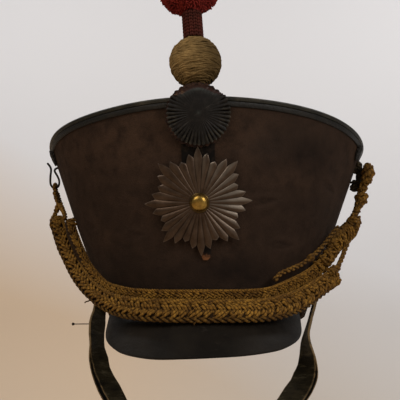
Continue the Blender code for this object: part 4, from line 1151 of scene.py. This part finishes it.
for i in range(len(line)):
    half = read[i, 3] / 2
    for side in (1, -1):
        for k in range(STRAP_COLUMNS + 1):
            share = (1 - 2 * k / STRAP_COLUMNS) * side
            at_edge = abs(share) == 1
            past = -share - crease_at[i] if side > 0 else -1.0
            frayed = wave[0 if share > 0 else 1][i] * abs(share) ** 3
            curl = STRAP_CURL * (share ** 2 - 0.4) + wave[2][i] * share
            step = -FOLDED_STEP if past > 0 else 0.0
            out = side * STRAP_THICKNESS / 2 * (EDGE_THINNED if at_edge else 1.0) + curl + step
            points.append(line[i] + wide[i] * (share * half + frayed) + thick[i] * out)
            cut.append(1.0 if at_edge else max(1 - abs(past) / 0.105, 0.0))
            beyond.append(1.0 if past > 0.05 else 0.0)
size = 2 * (STRAP_COLUMNS + 1)
faces = [(i * size + k, i * size + (k + 1) % size, (i + 1) * size + (k + 1) % size, (i + 1) * size + k)
         for i in range(len(line) - 1) for k in range(size)]
faces += [tuple(range(size - 1, -1, -1)), tuple(range((len(line) - 1) * size, len(line) * size))]
mesh = bpy.data.meshes.new("chin_strap")
mesh.from_pydata([tuple(point) for point in points], [], faces)
mark(mesh, "cut", cut)
mark(mesh, "beyond", beyond)
strap = add_piece("chin_strap", mesh)
face_out(strap)
strap_leather = Finish("chin_strap_leather", roughness=0.60, Specular_IOR_Level=0.15)
folds = strap_leather.mottle(90.0, 5.0, 0.7, stretch=(0.6, 0.6, 2.4))
clouds = strap_leather.mottle(30.0, 3.0)
cut_edge = strap_leather.spread(strap_leather.marked("cut"), 0.40, 0.80)
strap_leather.dye(STRAP_BLACK,
                  (strap_leather.spread(clouds, 0.35, 0.7), STRAP_BROWN),
                  (strap_leather.times(strap_leather.spread(folds, 0.46, 0.34), 0.8), STRAP_SHADE),
                  (strap_leather.spread(folds, 0.53, 0.68), STRAP_RUBBED),
                  (strap_leather.marked("beyond"), STRAP_UNDER),
                  (strap_leather.times(cut_edge, strap_leather.spread(folds, 0.30, 0.50)), STRAP_TAN))
strap_leather.raise_grain(folds, 0.0020, 1.0)
complete(strap, strap_leather.material, "strap_leather", "chin_strap", sharp=45)

# ---------------------------------------------------------------- pleated cockade
# A disc of thin black leather, 48 mm wide, pressed into 44 pleats that die out towards its middle. Its
# top is folded back against a second, scalloped disc that has faded to red-brown.

COCKADE_ROWS = (
    # share of the radius, height over the back, depth of the pleats
    (0.00, 0.00540, 0.00000),
    (0.05, 0.00528, 0.00000),
    (0.12, 0.00520, 0.00000),
    (0.20, 0.00512, 0.00000),
    (0.28, 0.00500, 0.00003),
    (0.36, 0.00482, 0.00008),
    (0.52, 0.00440, 0.00018),
    (0.67, 0.00395, 0.00034),
    (0.87, 0.00280, 0.00072),
    (1.00, 0.00210, 0.00080),
)


def pleated_disc(name, radius, pleats, rows, notch, thickness,
                 depth_at=lambda x, y: 1.0, bend=lambda x, y: 0.0):
    """A round sheet with rounded pleats and sharp valleys, flat in XY. The valleys end at the share notch of
    its radius, and bend is how far a place is folded back."""
    disc = begin_ring(name, pleats * 8)
    fill_in((0.985, 0.96, 0.92, 0.87, 0.81, 0.74, 0.67, 0.60, 0.52, 0.44, 0.36, 0.28, 0.20, 0.12, 0.05))
    shares, heights, depths = zip(*rows)
    for vertex in disc.data.vertices:
        share, angle = math.hypot(vertex.co.x, vertex.co.y), math.atan2(vertex.co.y, vertex.co.x)
        wave = abs(math.cos(angle * pleats / 2)) ** 0.75
        reach = radius * share * (notch + (1 - notch) * wave if share > 0.97 else 1)
        x, y = reach * math.cos(angle), reach * math.sin(angle)
        uneven_pleat = 1 + 0.35 * math.sin(angle * 6 + 1) + 0.30 * math.sin(angle * 15)
        depth = np.interp(share, shares, depths) * (2 * wave - 1) * depth_at(x, y) * uneven_pleat
        vertex.co = (x, y, np.interp(share, shares, heights) + depth - bend(x, y))
    thicken(disc, thickness)
    return disc


def set_down(body, place):
    """Moves a piece made at the origin to its place on the hat."""
    body.data.transform(place)
    body.data.update()


def clamp(value):
    return min(max(value, 0), 1)


def hump(value, width):
    """1 where the value is 0, and close to 0 more than twice this width from there."""
    return math.exp(-(value / width) ** 2)


FOLD_LOW = 0.0126                  # height of the fold over the middle of the cockade, at its two ends
FOLD_RISE, FOLD_SPREAD = 0.0064, 0.0115   # how much higher it is between them, and over what width
FOLD_SINK, FOLD_SHORTEN = 0.32, 0.60      # how far the part over it sinks and comes down, as shares


def over_fold(x, y):
    """How far a place on the cockade lies above the line where its top is folded back."""
    return y - FOLD_LOW - FOLD_RISE * hump(x, FOLD_SPREAD)


def pleat_depth(x, y):
    """The pleats are pressed flatter above the middle, between the sides."""
    return 1.0 - 0.75 * clamp((y + 0.001) / 0.008) * (abs(x) < 0.0165)


def fold_highlight_and_wear(place):
    """A painted highlight along the fold, and rubbed bare on the point in the middle."""
    along_fold = hump(over_fold(place.x, place.y) + 0.0016, 0.0007) * 1.3 * math.exp(-(place.x / 0.011) ** 4)
    return along_fold + 0.8 * hump(place.xy.length, 0.0010)


def rim_wear(place):
    """Worn to olive near the rim, but not at the top."""
    return clamp((place.xy.length - 0.0150) / 0.004) * clamp((0.006 - place.y) / 0.008)


COCKADE_RADIUS, COCKADE_PLEATS, COCKADE_LEATHER = 0.0241, 44, 0.0014
BACKING_RADIUS, BACKING_PLEATS, BACKING_LEATHER = 0.0244, 30, 0.0010
COCKADE_PLACE = wall_frame(math.radians(0.7), 0.1342, 0.0042)
BACKING_PLACE = wall_frame(math.radians(0.2), 0.1330, 0.0026)
BACKING_ROWS = ((0, 0.0011, 0), (0.8, 0.0011, 0), (1, 0.0013, 0.0003))
PLEAT_BLACK = (0.0075, 0.0060, 0.0048, 1)
PLEAT_DUSTY = (0.0175, 0.0140, 0.0112, 1)
PLEAT_RIDGE_HIGHLIGHT = (0.0750, 0.0660, 0.0540, 1)
PLEAT_OLIVE = (0.0500, 0.0430, 0.0290, 1)
PLEAT_HIGHLIT_AND_RUBBED = (0.0560, 0.0640, 0.0560, 1)
FOLD_RED_BROWN = (0.0260, 0.0100, 0.0064, 1)
FOLD_TAN = (0.1100, 0.0560, 0.0270, 1)
BACKING_DARK = (0.0150, 0.0080, 0.0060, 1)
BACKING_RED_BROWN = (0.0560, 0.0250, 0.0150, 1)
BACKING_TAN = (0.1800, 0.1150, 0.0620, 1)
cockade = pleated_disc("cockade", COCKADE_RADIUS, COCKADE_PLEATS, COCKADE_ROWS, notch=0.930,
                       thickness=COCKADE_LEATHER, depth_at=pleat_depth,
                       bend=lambda x, y: FOLD_SINK * max(over_fold(x, y), 0.0))
tint(cockade, "folded", lambda place: clamp(over_fold(place.x, place.y) / 0.0006))
tint(cockade, "lightened", fold_highlight_and_wear)
tint(cockade, "aside", lambda place: -place.x / 0.024)
tint(cockade, "rim", rim_wear)
for vertex in cockade.data.vertices:
    vertex.co.y -= FOLD_SHORTEN * max(over_fold(vertex.co.x, vertex.co.y), 0.0)
set_down(cockade, COCKADE_PLACE)

pleated = Finish("pleated_leather", roughness=0.54, Specular_IOR_Level=0.17)
ridge = pleated.ridge()
dust = pleated.mottle(260.0, 4.0, 0.65)
crests = pleated.times(pleated.spread(ridge, 0.505, 0.56), pleated.spread(dust, 0.40, 0.60))
aside = pleated.spread(pleated.marked("aside"), 0.30, 0.50)
tanned = pleated.times(pleated.spread(dust, 0.44, 0.60), aside)
# The coat on the pleat ridges, from pointiness, is a painted highlight.
pleated.dye(PLEAT_BLACK,
            (pleated.spread(dust, 0.45, 0.75), PLEAT_DUSTY),
            (pleated.times(pleated.spread(ridge, 0.52, 0.60), 0.30), PLEAT_RIDGE_HIGHLIGHT),
            (pleated.times(crests, pleated.marked("rim")), PLEAT_OLIVE),
            (pleated.marked("folded"), pleated.mix(tanned, FOLD_RED_BROWN, FOLD_TAN)),
            (pleated.times(pleated.marked("lightened"), 0.6), PLEAT_HIGHLIT_AND_RUBBED))
pleated.raise_grain(dust, 0.00022, 0.7)
complete(cockade, pleated.material, "pleated_leather", "cockade_front", sharp=55)

backing = pleated_disc("cockade_backing", BACKING_RADIUS, BACKING_PLEATS, BACKING_ROWS, notch=0.935,
                       thickness=BACKING_LEATHER)
set_down(backing, BACKING_PLACE)
worn_leather = Finish("worn_red_brown_leather", roughness=0.65, Specular_IOR_Level=0.15)
flakes = worn_leather.mottle(320.0, 4.0, 0.7)
worn_leather.dye(BACKING_DARK,
                 (worn_leather.spread(flakes, 0.42, 0.62), BACKING_RED_BROWN),
                 (worn_leather.spread(flakes, 0.62, 0.72), BACKING_TAN))
worn_leather.raise_grain(flakes, 0.0004, 0.8)
complete(backing, worn_leather.material, "worn_leather", "cockade_back", sharp=55)

# Two small rosettes of the same pleated leather sit under the rim over the hooks.

ROSETTE_ROWS = ((0.0, 0.0021, 0.0), (0.5, 0.0019, 0.00020), (1.0, 0.0010, 0.00040))
ROSETTE_RADIUS, ROSETTE_PLEATS, ROSETTE_LEATHER = 0.0074, 14, 0.0014
ROSETTE_HEIGHT, ROSETTE_FORE, ROSETTE_PROUD = 0.1364, 0.034, 0.0010
ROSETTE_NOD = Matrix.Rotation(math.radians(5), 4, "X")
for side, name in ((-1, "left"), (1, "right")):
    rosette = pleated_disc(name + "_rosette", ROSETTE_RADIUS, ROSETTE_PLEATS, ROSETTE_ROWS, notch=0.84,
                           thickness=ROSETTE_LEATHER)
    tint(rosette, "folded", lambda place: 0.0)
    tint(rosette, "aside", lambda place: 0.0)
    tint(rosette, "lightened", lambda place: 0.4 * hump(place.xy.length, 0.0015))
    turn = math.acos(ROSETTE_FORE / oval(0.135)[1]) * side
    set_down(rosette, wall_frame(turn, ROSETTE_HEIGHT, ROSETTE_PROUD) @ ROSETTE_NOD)
    complete(rosette, pleated.material, "pleated_leather", "side_rosette_" + name, sharp=55)

# ---------------------------------------------------------------- star and button
# The plate is a star stamped from thin sheet, 86 mm wide, with a ridge down each of its 32 leaf-shaped
# rays. It is brown with age, with a painted highlight on the ridges and on the up-turned sides of the rays
# at the right. A domed brass button holds it to the crown.

RAY_CYCLE = (
    # reach of a ray, and of the notch after it
    (0.0428, 0.0334),
    (0.0376, 0.0304),
    (0.0332, 0.0304),
    (0.0376, 0.0334),
)
RAY_GROWTH = (1.0, 1.01, 0.935, 0.975, 0.94, 0.95, 1.0, 1.03, 1.0)   # each eighth of the star, from the top
STAR_BEND = 0.160                  # radius that the plate is bent to
RIDGE_ROWS = ((0.0, 0.0015), (0.009, 0.0015), (0.021, 0.0021), (0.031, 0.0019), (0.043, 0.0009))
VALLEY_ROWS = ((0.0, 0.0014), (0.009, 0.0012), (0.021, 0.0011), (0.031, 0.0009), (0.043, 0.0006))
STAR_SHEET = 0.0009                # thickness of the plate
STAR_TURN, STAR_HEIGHT, STAR_PROUD, STAR_TILT = math.radians(0.50), 0.0705, 0.0025, math.radians(1.2)
RAYS = 32
RAY_STEPS = 14                     # columns of faces to a ray
STAR_BROWN = (0.0480, 0.0275, 0.0155, 1)
STAR_PATINA = (0.0850, 0.0520, 0.0320, 1)
STAR_RIDGE_HIGHLIGHT = (0.2100, 0.1850, 0.1600, 1)
STAR_VALLEY = (0.0220, 0.0120, 0.0080, 1)
STAR_HIGHLIGHT = (0.2050, 0.1680, 0.1320, 1)

star = begin_ring("star", RAYS * RAY_STEPS)
fill_in((0.975, 0.94, 0.90, 0.86, 0.82, 0.78, 0.74, 0.70, 0.64,
         0.57, 0.50, 0.43, 0.36, 0.30, 0.24, 0.18, 0.12, 0.06))
ray_step = math.tau / RAYS
beaten = np.random.default_rng(5)
uneven = [(beaten.normal(0, 0.0005), beaten.normal(0, 0.018), beaten.normal(0, 0.00025)) for _ in range(RAYS)]
for vertex in star.data.vertices:
    share, angle = math.hypot(vertex.co.x, vertex.co.y), math.atan2(vertex.co.y, vertex.co.x)
    place = (math.pi / 2 - angle) / ray_step
    ray = round(place)
    off = place - ray                                # -0.5 to 0.5, 0 on the ridge
    longest, notch_after = RAY_CYCLE[ray % 4]
    notch = notch_after if off > 0 else RAY_CYCLE[(ray - 1) % 4][1]
    longer, swing, lift = uneven[ray % RAYS]
    grown = np.interp(ray % RAYS, range(0, RAYS + 1, 4), RAY_GROWTH)
    inner = 2 * abs(off)
    tip = (longest + longer - notch) * max(1 - inner, 0) ** 0.85
    reach = share * (notch + tip) * grown
    beyond = max(reach - notch, 0) / (longest - notch)
    local = min(inner / max(1 - beyond ** 1.6, 0.08), 1)
    ridge = np.interp(reach, *zip(*RIDGE_ROWS)) + lift * min(reach / 0.03, 1)
    valley = np.interp(reach, *zip(*VALLEY_ROWS))
    height = valley + (ridge - valley) * (0.45 * (1 - local) + 0.55 * math.sqrt(1 - local ** 2)) ** 0.9
    angle += swing * ray_step * clamp((reach - 0.015) / 0.02) * (1 - inner)
    bow = reach * math.cos(angle) / STAR_BEND
    vertex.co = (STAR_BEND * math.sin(bow), reach * math.sin(angle), height - STAR_BEND * (1 - math.cos(bow)))


def upturned_highlight(place):
    """Painted highlight: most on the right, on the side of each ray that is turned up."""
    turn = (math.pi / 2 - math.atan2(place.y, place.x)) / ray_step
    flank = min(max(0.45 - (turn - round(turn)) * 3.2, 0.08), 1)
    right = clamp((place.x - 0.003) / 0.024) * hump(place.y - 0.002, 0.020)
    above = 0.40 * clamp((place.y - 0.006) / 0.02) * hump(place.x - 0.012, 0.020)
    return (right + above) * flank


tint(star, "lightened", upturned_highlight)
thicken(star, STAR_SHEET)
star_place = wall_frame(STAR_TURN, STAR_HEIGHT, STAR_PROUD) @ Matrix.Rotation(STAR_TILT, 4, "Z")
set_down(star, star_place)

star_metal = Finish("browned_metal", roughness=0.34, Metallic=0.80)
ridge = star_metal.ridge()
patina = star_metal.mottle(130.0, 5.0, 0.65)
spots = star_metal.mottle(900.0, 2.0)
# Painted highlight on the ridges and, from the marked numbers, on the up-turned sides at the right.
star_metal.dye(STAR_BROWN,
               (star_metal.spread(patina, 0.35, 0.68), STAR_PATINA),
               (star_metal.times(star_metal.spread(ridge, 0.52, 0.62), 0.35), STAR_RIDGE_HIGHLIGHT),
               (star_metal.spread(ridge, 0.48, 0.42), STAR_VALLEY),
               (star_metal.marked("lightened"), STAR_HIGHLIGHT))
star_metal.give(Roughness=star_metal.times_plus(patina, 0.35, 0.22))
star_metal.raise_grain(star_metal.times_plus(patina, 1.6, spots), 0.00010, 0.6)
complete(star, star_metal.material, "star_metal", "star_plate", sharp=30)


def turned(name, profile, steps):
    """A body turned about Z from pairs of radius and height, that start and end on the axis."""
    outline = bpy.data.meshes.new(name)
    edges = [(k, k + 1) for k in range(len(profile) - 1)]
    outline.from_pydata([(radius, 0, height) for radius, height in profile], edges, [])
    body = add_piece(name, outline)
    open_up(body)
    bpy.ops.mesh.spin(steps=steps, angle=math.tau, center=(0, 0, 0), axis=(0, 0, 1))
    bpy.ops.mesh.select_all(action="SELECT")
    bpy.ops.mesh.remove_doubles(threshold=0.000005)
    bpy.ops.object.mode_set(mode="OBJECT")
    face_out(body)
    return body


BUTTON_PROFILE = (
    (0, 0.00740), (0.0014, 0.00733), (0.0028, 0.00711), (0.0040, 0.00672), (0.0050, 0.00616),
    (0.0057, 0.00550), (0.0062, 0.00470), (0.00645, 0.00390), (0.0065, 0.00320), (0.0066, 0.00290),
    (0.0070, 0.00282), (0.0074, 0.00270), (0.0076, 0.00245), (0.0076, 0.0019), (0, 0.0019),
)
BUTTON_DOME = 0.00655              # radius of the dome inside its ring
BRASS = (0.4100, 0.2500, 0.0560, 1)
BRASS_TARNISH = (0.2350, 0.1320, 0.0310, 1)
BRASS_GRIME = (0.0400, 0.0270, 0.0150, 1)
button = turned("brass_button", BUTTON_PROFILE, steps=64)
tint(button, "ring", lambda place: 1.0 if place.xy.length > BUTTON_DOME else 0.0)
set_down(button, star_place)
brass = Finish("old_brass", roughness=0.20, Metallic=1.0)
tarnish = brass.mottle(420.0, 4.0, 0.6)
brass.dye(BRASS,
          (brass.spread(tarnish, 0.40, 0.70), BRASS_TARNISH),
          (brass.times(brass.marked("ring"), 0.85), BRASS_GRIME))
brass.give(Roughness=brass.times_plus(tarnish, 0.25, 0.18))
complete(button, brass.material, "brass", "star_button", sharp=50)

# ---------------------------------------------------------------- plume
# A short leather holder stands on the front of the rim. In it is a ball wound of khaki wool, 40 mm
# across, with a dark red knitted stem and a ball of red wool, 50 mm across, on top.

PLUME_FOOT = (0.0008, -0.1365, 0.1446)
PLUME_LEAN = math.radians(-4)
plume = Matrix.Translation(PLUME_FOOT) @ Matrix.Rotation(PLUME_LEAN, 4, "Y")
SOCKET_PROFILE = (
    (0, 0.0136), (0.0068, 0.0136), (0.0080, 0.0134), (0.0085, 0.0130), (0.0087, 0.0122),
    (0.0086, 0.0095), (0.0087, 0.0075), (0.0086, 0.0056), (0.0079, 0.0048), (0.0066, 0.0038),
    (0.0062, 0.0032), (0.0060, 0.0020), (0.0059, 0.0012), (0, 0.0012),
)
KHAKI_LIGHT, KHAKI_DARK = (0.3700, 0.2350, 0.0900, 1), (0.2000, 0.1250, 0.0480, 1)
STEM_LIGHT, STEM_DARK = (0.1200, 0.0270, 0.0190, 1), (0.0450, 0.0160, 0.0110, 1)
RED_LIGHT, RED_DARK = (0.3300, 0.0400, 0.0300, 1), (0.1900, 0.0230, 0.0180, 1)
socket = turned("plume_holder", SOCKET_PROFILE, steps=40)
set_down(socket, plume)
complete(socket, black_leather, "black_leather", "pompom_socket", sharp=50)


def wool_finish(name, light, dark):
    """Fuzzy wool, with painted shade from the marked numbers in the gaps between its strands."""
    wool = Finish(name, roughness=0.92, Sheen_Weight=0.12, Sheen_Tint=light, Specular_IOR_Level=0.05)
    fade = wool.mottle(160.0, 4.0, 0.6)
    fibre = wool.mottle(1900.0, 2.0, 0.6)
    wool.dye(dark,
             (wool.spread(fade, 0.35, 0.68), light),
             (wool.times(wool.spread(fibre, 0.48, 0.75), 0.5), darker(dark, 0.5)),
             (wool.times(wool.marked("painted_shade_and_dirt"), 0.8), darker(dark, 0.22)))
    wool.raise_grain(fibre, 0.00035, 0.9)
    return wool.material


def on_plume(places):
    return [tuple(plume @ Vector(place)) for place in places]


BALL_CENTRE = 0.0334
BALL_TURNS = 150
BALL_CORE, BALL_WOUND = 0.0184, 0.0013   # radius under the strands, and what they add to it
GOLDEN = 0.618034                  # spreads the turns evenly
draw = np.random.default_rng(17)
skein = Skein()
for k in range(BALL_TURNS):
    level = -0.985 + 1.95 * ((k * GOLDEN) % 1.0)
    core = BALL_CORE + BALL_WOUND * k / BALL_TURNS
    loose = 0.07 if k < BALL_TURNS * 0.7 else 0.14
    tilt = Matrix.Rotation(draw.normal(0, loose), 3, "X") @ Matrix.Rotation(draw.normal(0, loose), 3, "Y")
    ring = core * math.sqrt(1 - level ** 2)
    steps = max(16, int(ring / 0.0185 * 52))
    phase = draw.uniform(0, math.tau)
    path = []
    for step in range(steps + 2):
        angle = phase + math.tau * step / steps
        ripple = 0.00035 * math.sin(angle * 5 + k) + 0.00026 * math.sin(angle * 13 + 2 * k)
        place = Vector((ring * math.cos(angle), ring * math.sin(angle), core * level + ripple))
        path.append(tilt @ place + Vector((0, 0, BALL_CENTRE)))
    # Painted shade: the inner turns and the right side of the ball are darker.
    shaded_right = np.clip([place.x / 0.017 + 0.3 for place in path], 0, 1)
    skein.lay(on_plume(path), 0.00062 if k > 60 else 0.00085, sides=5,
              painted_shade_and_dirt=max(0.0, 0.60 - 0.8 * k / BALL_TURNS) + 0.85 * shaded_right)
ball = skein.finish("khaki_ball", wool_finish("khaki_wool", KHAKI_LIGHT, KHAKI_DARK))
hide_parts("pompom_ball")

STEM_RADIUS = 0.0078
STEM_LOW, STEM_HIGH = 0.0532, 0.0748
WALES, COURSES = 13, 8             # stitches round the stem, and rows of them
STITCH_YARN = 0.00088
rise = (STEM_HIGH - STEM_LOW) / COURSES
girth = STITCH_YARN * np.array((0.50, 1.0, 1.12, 1.0, 0.50))
skein = Skein()
for course in range(COURSES):
    foot = STEM_LOW + (STEM_HIGH - STEM_LOW) * (course - 0.15) / COURSES
    for wale in range(WALES):
        middle = math.tau * (wale + 0.5 * draw.normal(0, 0.06)) / WALES
        for leg in (-1, 1):
            path = []
            for step in range(5):
                share = step / 4
                angle = middle + leg * math.tau / WALES * (0.10 + 0.36 * share)
                reach = STEM_RADIUS - 0.00105 + 0.00045 * math.sin(math.pi * share)
                path.append((reach * math.cos(angle), reach * math.sin(angle), foot + rise * 1.25 * share))
            # The stitch ends, where the loops pass under each other, are painted darker: painted shade.
            skein.lay(on_plume(path), girth, sides=5, painted_shade_and_dirt=(1.0, 0.30, 0.0, 0.25, 1.0))
# A dark core inside the knitting: painted shade.
inside = [(0, 0, STEM_LOW - 0.0008), (0, 0, (STEM_LOW + STEM_HIGH) / 2), (0, 0, STEM_HIGH + 0.0008)]
skein.lay(on_plume(inside), STEM_RADIUS - 0.0011, sides=32, painted_shade_and_dirt=1.0)
stem = skein.finish("knitted_stem", wool_finish("dark_red_knit", STEM_LIGHT, STEM_DARK))
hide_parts("pompom_stem")

TUFT_CENTRE, TUFT_RADIUS = 0.0992, 0.0256
TUFT_CORE = 0.0228                 # radius of the wool that the ends stand on
TUFT_ROOT = 0.0215                 # radius where the ends start
ENDS = 2600
skein = Skein()
centre = Vector((-0.0008, 0, TUFT_CENTRE))
for k in range(ENDS):
    level = 1 - 2 * (k + 0.5) / ENDS
    angle = k * math.pi * (3 - math.sqrt(5))
    flat = math.sqrt(1 - level ** 2)
    out = Vector((flat * math.cos(angle), flat * math.sin(angle), level))
    lump = 0.00045 * (math.sin(out.x * 9 + 1) + math.sin(out.y * 11 + 2) + math.sin(out.z * 10))
    sway = Vector(draw.normal(0, 0.35, 3))
    root = out * TUFT_ROOT
    end = out * (TUFT_RADIUS - 0.0010 + lump + draw.normal(0, 0.0003)) + (sway - out * sway.dot(out)) * 0.0022
    # Painted shade: the ends are darker at their roots.
    skein.lay(on_plume([centre + root, centre + (root + end) * 0.5 + sway * 0.0003, centre + end]),
              (0.00085, 0.00085, 0.00055), sides=5, painted_shade_and_dirt=(1.0, 0.45, 0.0))
# A dark core under the ends: painted shade.
slants = [math.pi * (s / 16 - 0.5) for s in range(17)]
skein.lay(on_plume([(0, 0, TUFT_CENTRE + TUFT_CORE * math.sin(slant)) for slant in slants]),
          [max(TUFT_CORE * math.cos(slant), 0.0004) for slant in slants], sides=32, painted_shade_and_dirt=0.8)
tuft = skein.finish("red_tuft", wool_finish("red_wool", RED_LIGHT, RED_DARK))
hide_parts("pompom_tuft")

# ---------------------------------------------------------------- hooks and pin
# Bent iron wire hooks, 1.9 mm thick, hang from under the rosettes and hold the cords. A rusty pin sticks
# out of the left end of the chin strap.

WIRE_RADIUS = 0.00095
HOOK_ROWS = (
    # distance out from the middle of the hat, height
    (0.1334, 0.1341), (0.1352, 0.1334), (0.1366, 0.1324), (0.1367, 0.1304), (0.1348, 0.1272),
    (0.1327, 0.1230), (0.1322, 0.1194), (0.1330, 0.1164), (0.1356, 0.1150), (0.1384, 0.1160),
    (0.1402, 0.1196), (0.1405, 0.1260), (0.1402, 0.1320), (0.1414, 0.1354), (0.1440, 0.1386),
)
IRON_DARK = (0.0110, 0.0095, 0.0070, 1)
IRON_RUST = (0.0420, 0.0240, 0.0130, 1)
iron_wire = Finish("dark_iron_wire", roughness=0.60, Metallic=0.4, Specular_IOR_Level=0.2)
rust = iron_wire.mottle(500.0, 4.0, 0.7)
iron_wire.dye(IRON_DARK, (iron_wire.spread(rust, 0.42, 0.65), IRON_RUST))
iron_wire.raise_grain(rust, 0.00015, 0.8)


def bend_wire(name, route):
    """A round iron wire with rounded ends along a route."""
    line = smooth_rows(route, 0.0005)
    girth = np.full(len(line), WIRE_RADIUS)
    girth[[0, -1]] *= 0.55
    skein = Skein()
    skein.lay(line, girth, sides=12)
    return skein.finish(name, iron_wire.material)


LEFT_HOOK = [(-out, HOOK_Y, height) for out, height in HOOK_ROWS]
RIGHT_HOOK = [(out + 0.0008, HOOK_Y, height) for out, height in HOOK_ROWS[:-2]]
for name, route in (("left", LEFT_HOOK), ("right", RIGHT_HOOK)):
    hook = bend_wire(name + "_hook", route)
    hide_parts("hook_" + name)

PIN_PROFILE = (
    (0, 0), (0.0006, -0.0001), (0.0010, -0.0003), (0.0013, -0.0008), (0.0013, -0.0013), (0.0010, -0.0020),
    (0.0005, -0.0024), (0.0004, -0.0028), (0.0004, -0.0152), (0, -0.0152),
)
PIN_HEAD = (-0.1172, -0.0060, -0.0062)
PIN_TURN = math.radians(-90)       # from upright to lying across the hat
pin = turned("strap_pin", PIN_PROFILE, steps=16)
set_down(pin, Matrix.Translation(PIN_HEAD) @ Matrix.Rotation(PIN_TURN, 4, "Y"))
complete(pin, iron_wire.material, "iron_wire", "strap_pin", sharp=50)

# ---------------------------------------------------------------- floor, backdrop and light
# A pale floor that curves up into a pale backdrop, painted darker and warmer low down and warmest at the
# left: painted shade. None of it is part of the hat.

FLOOR = -0.26
FLOOR_SCALE = (3.0, 2.2, 1)
WALL_HEIGHT = 3.2
COVE = 0.55                        # size of the curve between the floor and the backdrop
AIR_COLOUR = (1.0, 0.97, 0.93, 1)
AIR_STRENGTH = 0.17
PALE_WALL = (0.705, 0.700, 0.715, 1)
WARM_WALL = (0.640, 0.500, 0.365, 1)
GREY_WALL = (0.545, 0.475, 0.405, 1)
bpy.ops.object.select_all(action="DESELECT")
bpy.ops.mesh.primitive_plane_add(size=2, location=(0, 0, FLOOR))
backdrop = bpy.context.object
backdrop.name = "backdrop"
bpy.ops.object.mode_set(mode="EDIT")
bpy.ops.transform.resize(value=FLOOR_SCALE)
shape = bmesh.from_edit_mesh(backdrop.data)
for edge in shape.edges:
    edge.select_set(all(v.co.y > 1 for v in edge.verts))
shape.select_flush_mode()
bmesh.update_edit_mesh(backdrop.data)
bpy.ops.mesh.extrude_edges_move(TRANSFORM_OT_translate={"value": (0, 0, WALL_HEIGHT)})
for edge in shape.edges:
    edge.select_set(all(v.co.y > 1 and v.co.z < 0.1 for v in edge.verts))
bpy.ops.mesh.bevel(offset=COVE, segments=16)
bpy.ops.object.mode_set(mode="OBJECT")
bpy.ops.object.shade_smooth()

wall_paint = Finish("backdrop_paint", roughness=0.95)
across, _, up = wall_paint.lay_in("SeparateXYZ", Vector=wall_paint.where).outputs
# The backdrop is painted darker and warmer towards the bottom and the left: painted shade.
height = wall_paint.times_plus(wall_paint.mottle(0.8, 2.0), 0.35, up)
height = wall_paint.times_plus(across, 0.42, height)
warm = wall_paint.mix(wall_paint.spread(across, 0.25, -0.45), GREY_WALL, WARM_WALL)
wall_paint.dye(PALE_WALL, (wall_paint.spread(height, 1.08, 0.46), warm))
backdrop.data.materials.append(wall_paint.material)


def hang_lamp(name, place, size, power, colour, aim=(0, 0, 0.05)):
    """A square soft lamp, aimed at the hat or at another place."""
    turned_to = (Vector(aim) - Vector(place)).to_track_quat("-Z", "Y").to_euler()
    bpy.ops.object.light_add(type="AREA", location=place, rotation=turned_to)
    lamp = bpy.context.object
    lamp.name = name
    lamp.data.size = size
    lamp.data.energy = power
    lamp.data.color = colour


hang_lamp("window_lamp", (-0.8, -1.3, 1.15), size=1.0, power=11, colour=(1.0, 0.96, 0.90))
hang_lamp("right_lamp", (1.0, -1.1, 0.6), size=0.7, power=9, colour=(1.0, 0.98, 0.96))
for side in (-1, 1):
    hang_lamp("wall_lamp", (side * 1.1, 0.8, 1.8), size=0.8, power=17.5 + side * 1.5,
              colour=(1.0, 0.99, 0.985), aim=(side * 0.20 + 0.05, 2.2, -0.03 - side * 0.05))
air = bpy.data.worlds.new("studio_air")
air.use_nodes = True
air.node_tree.nodes["Background"].inputs["Color"].default_value = AIR_COLOUR
air.node_tree.nodes["Background"].inputs["Strength"].default_value = AIR_STRENGTH
bpy.context.scene.world = air
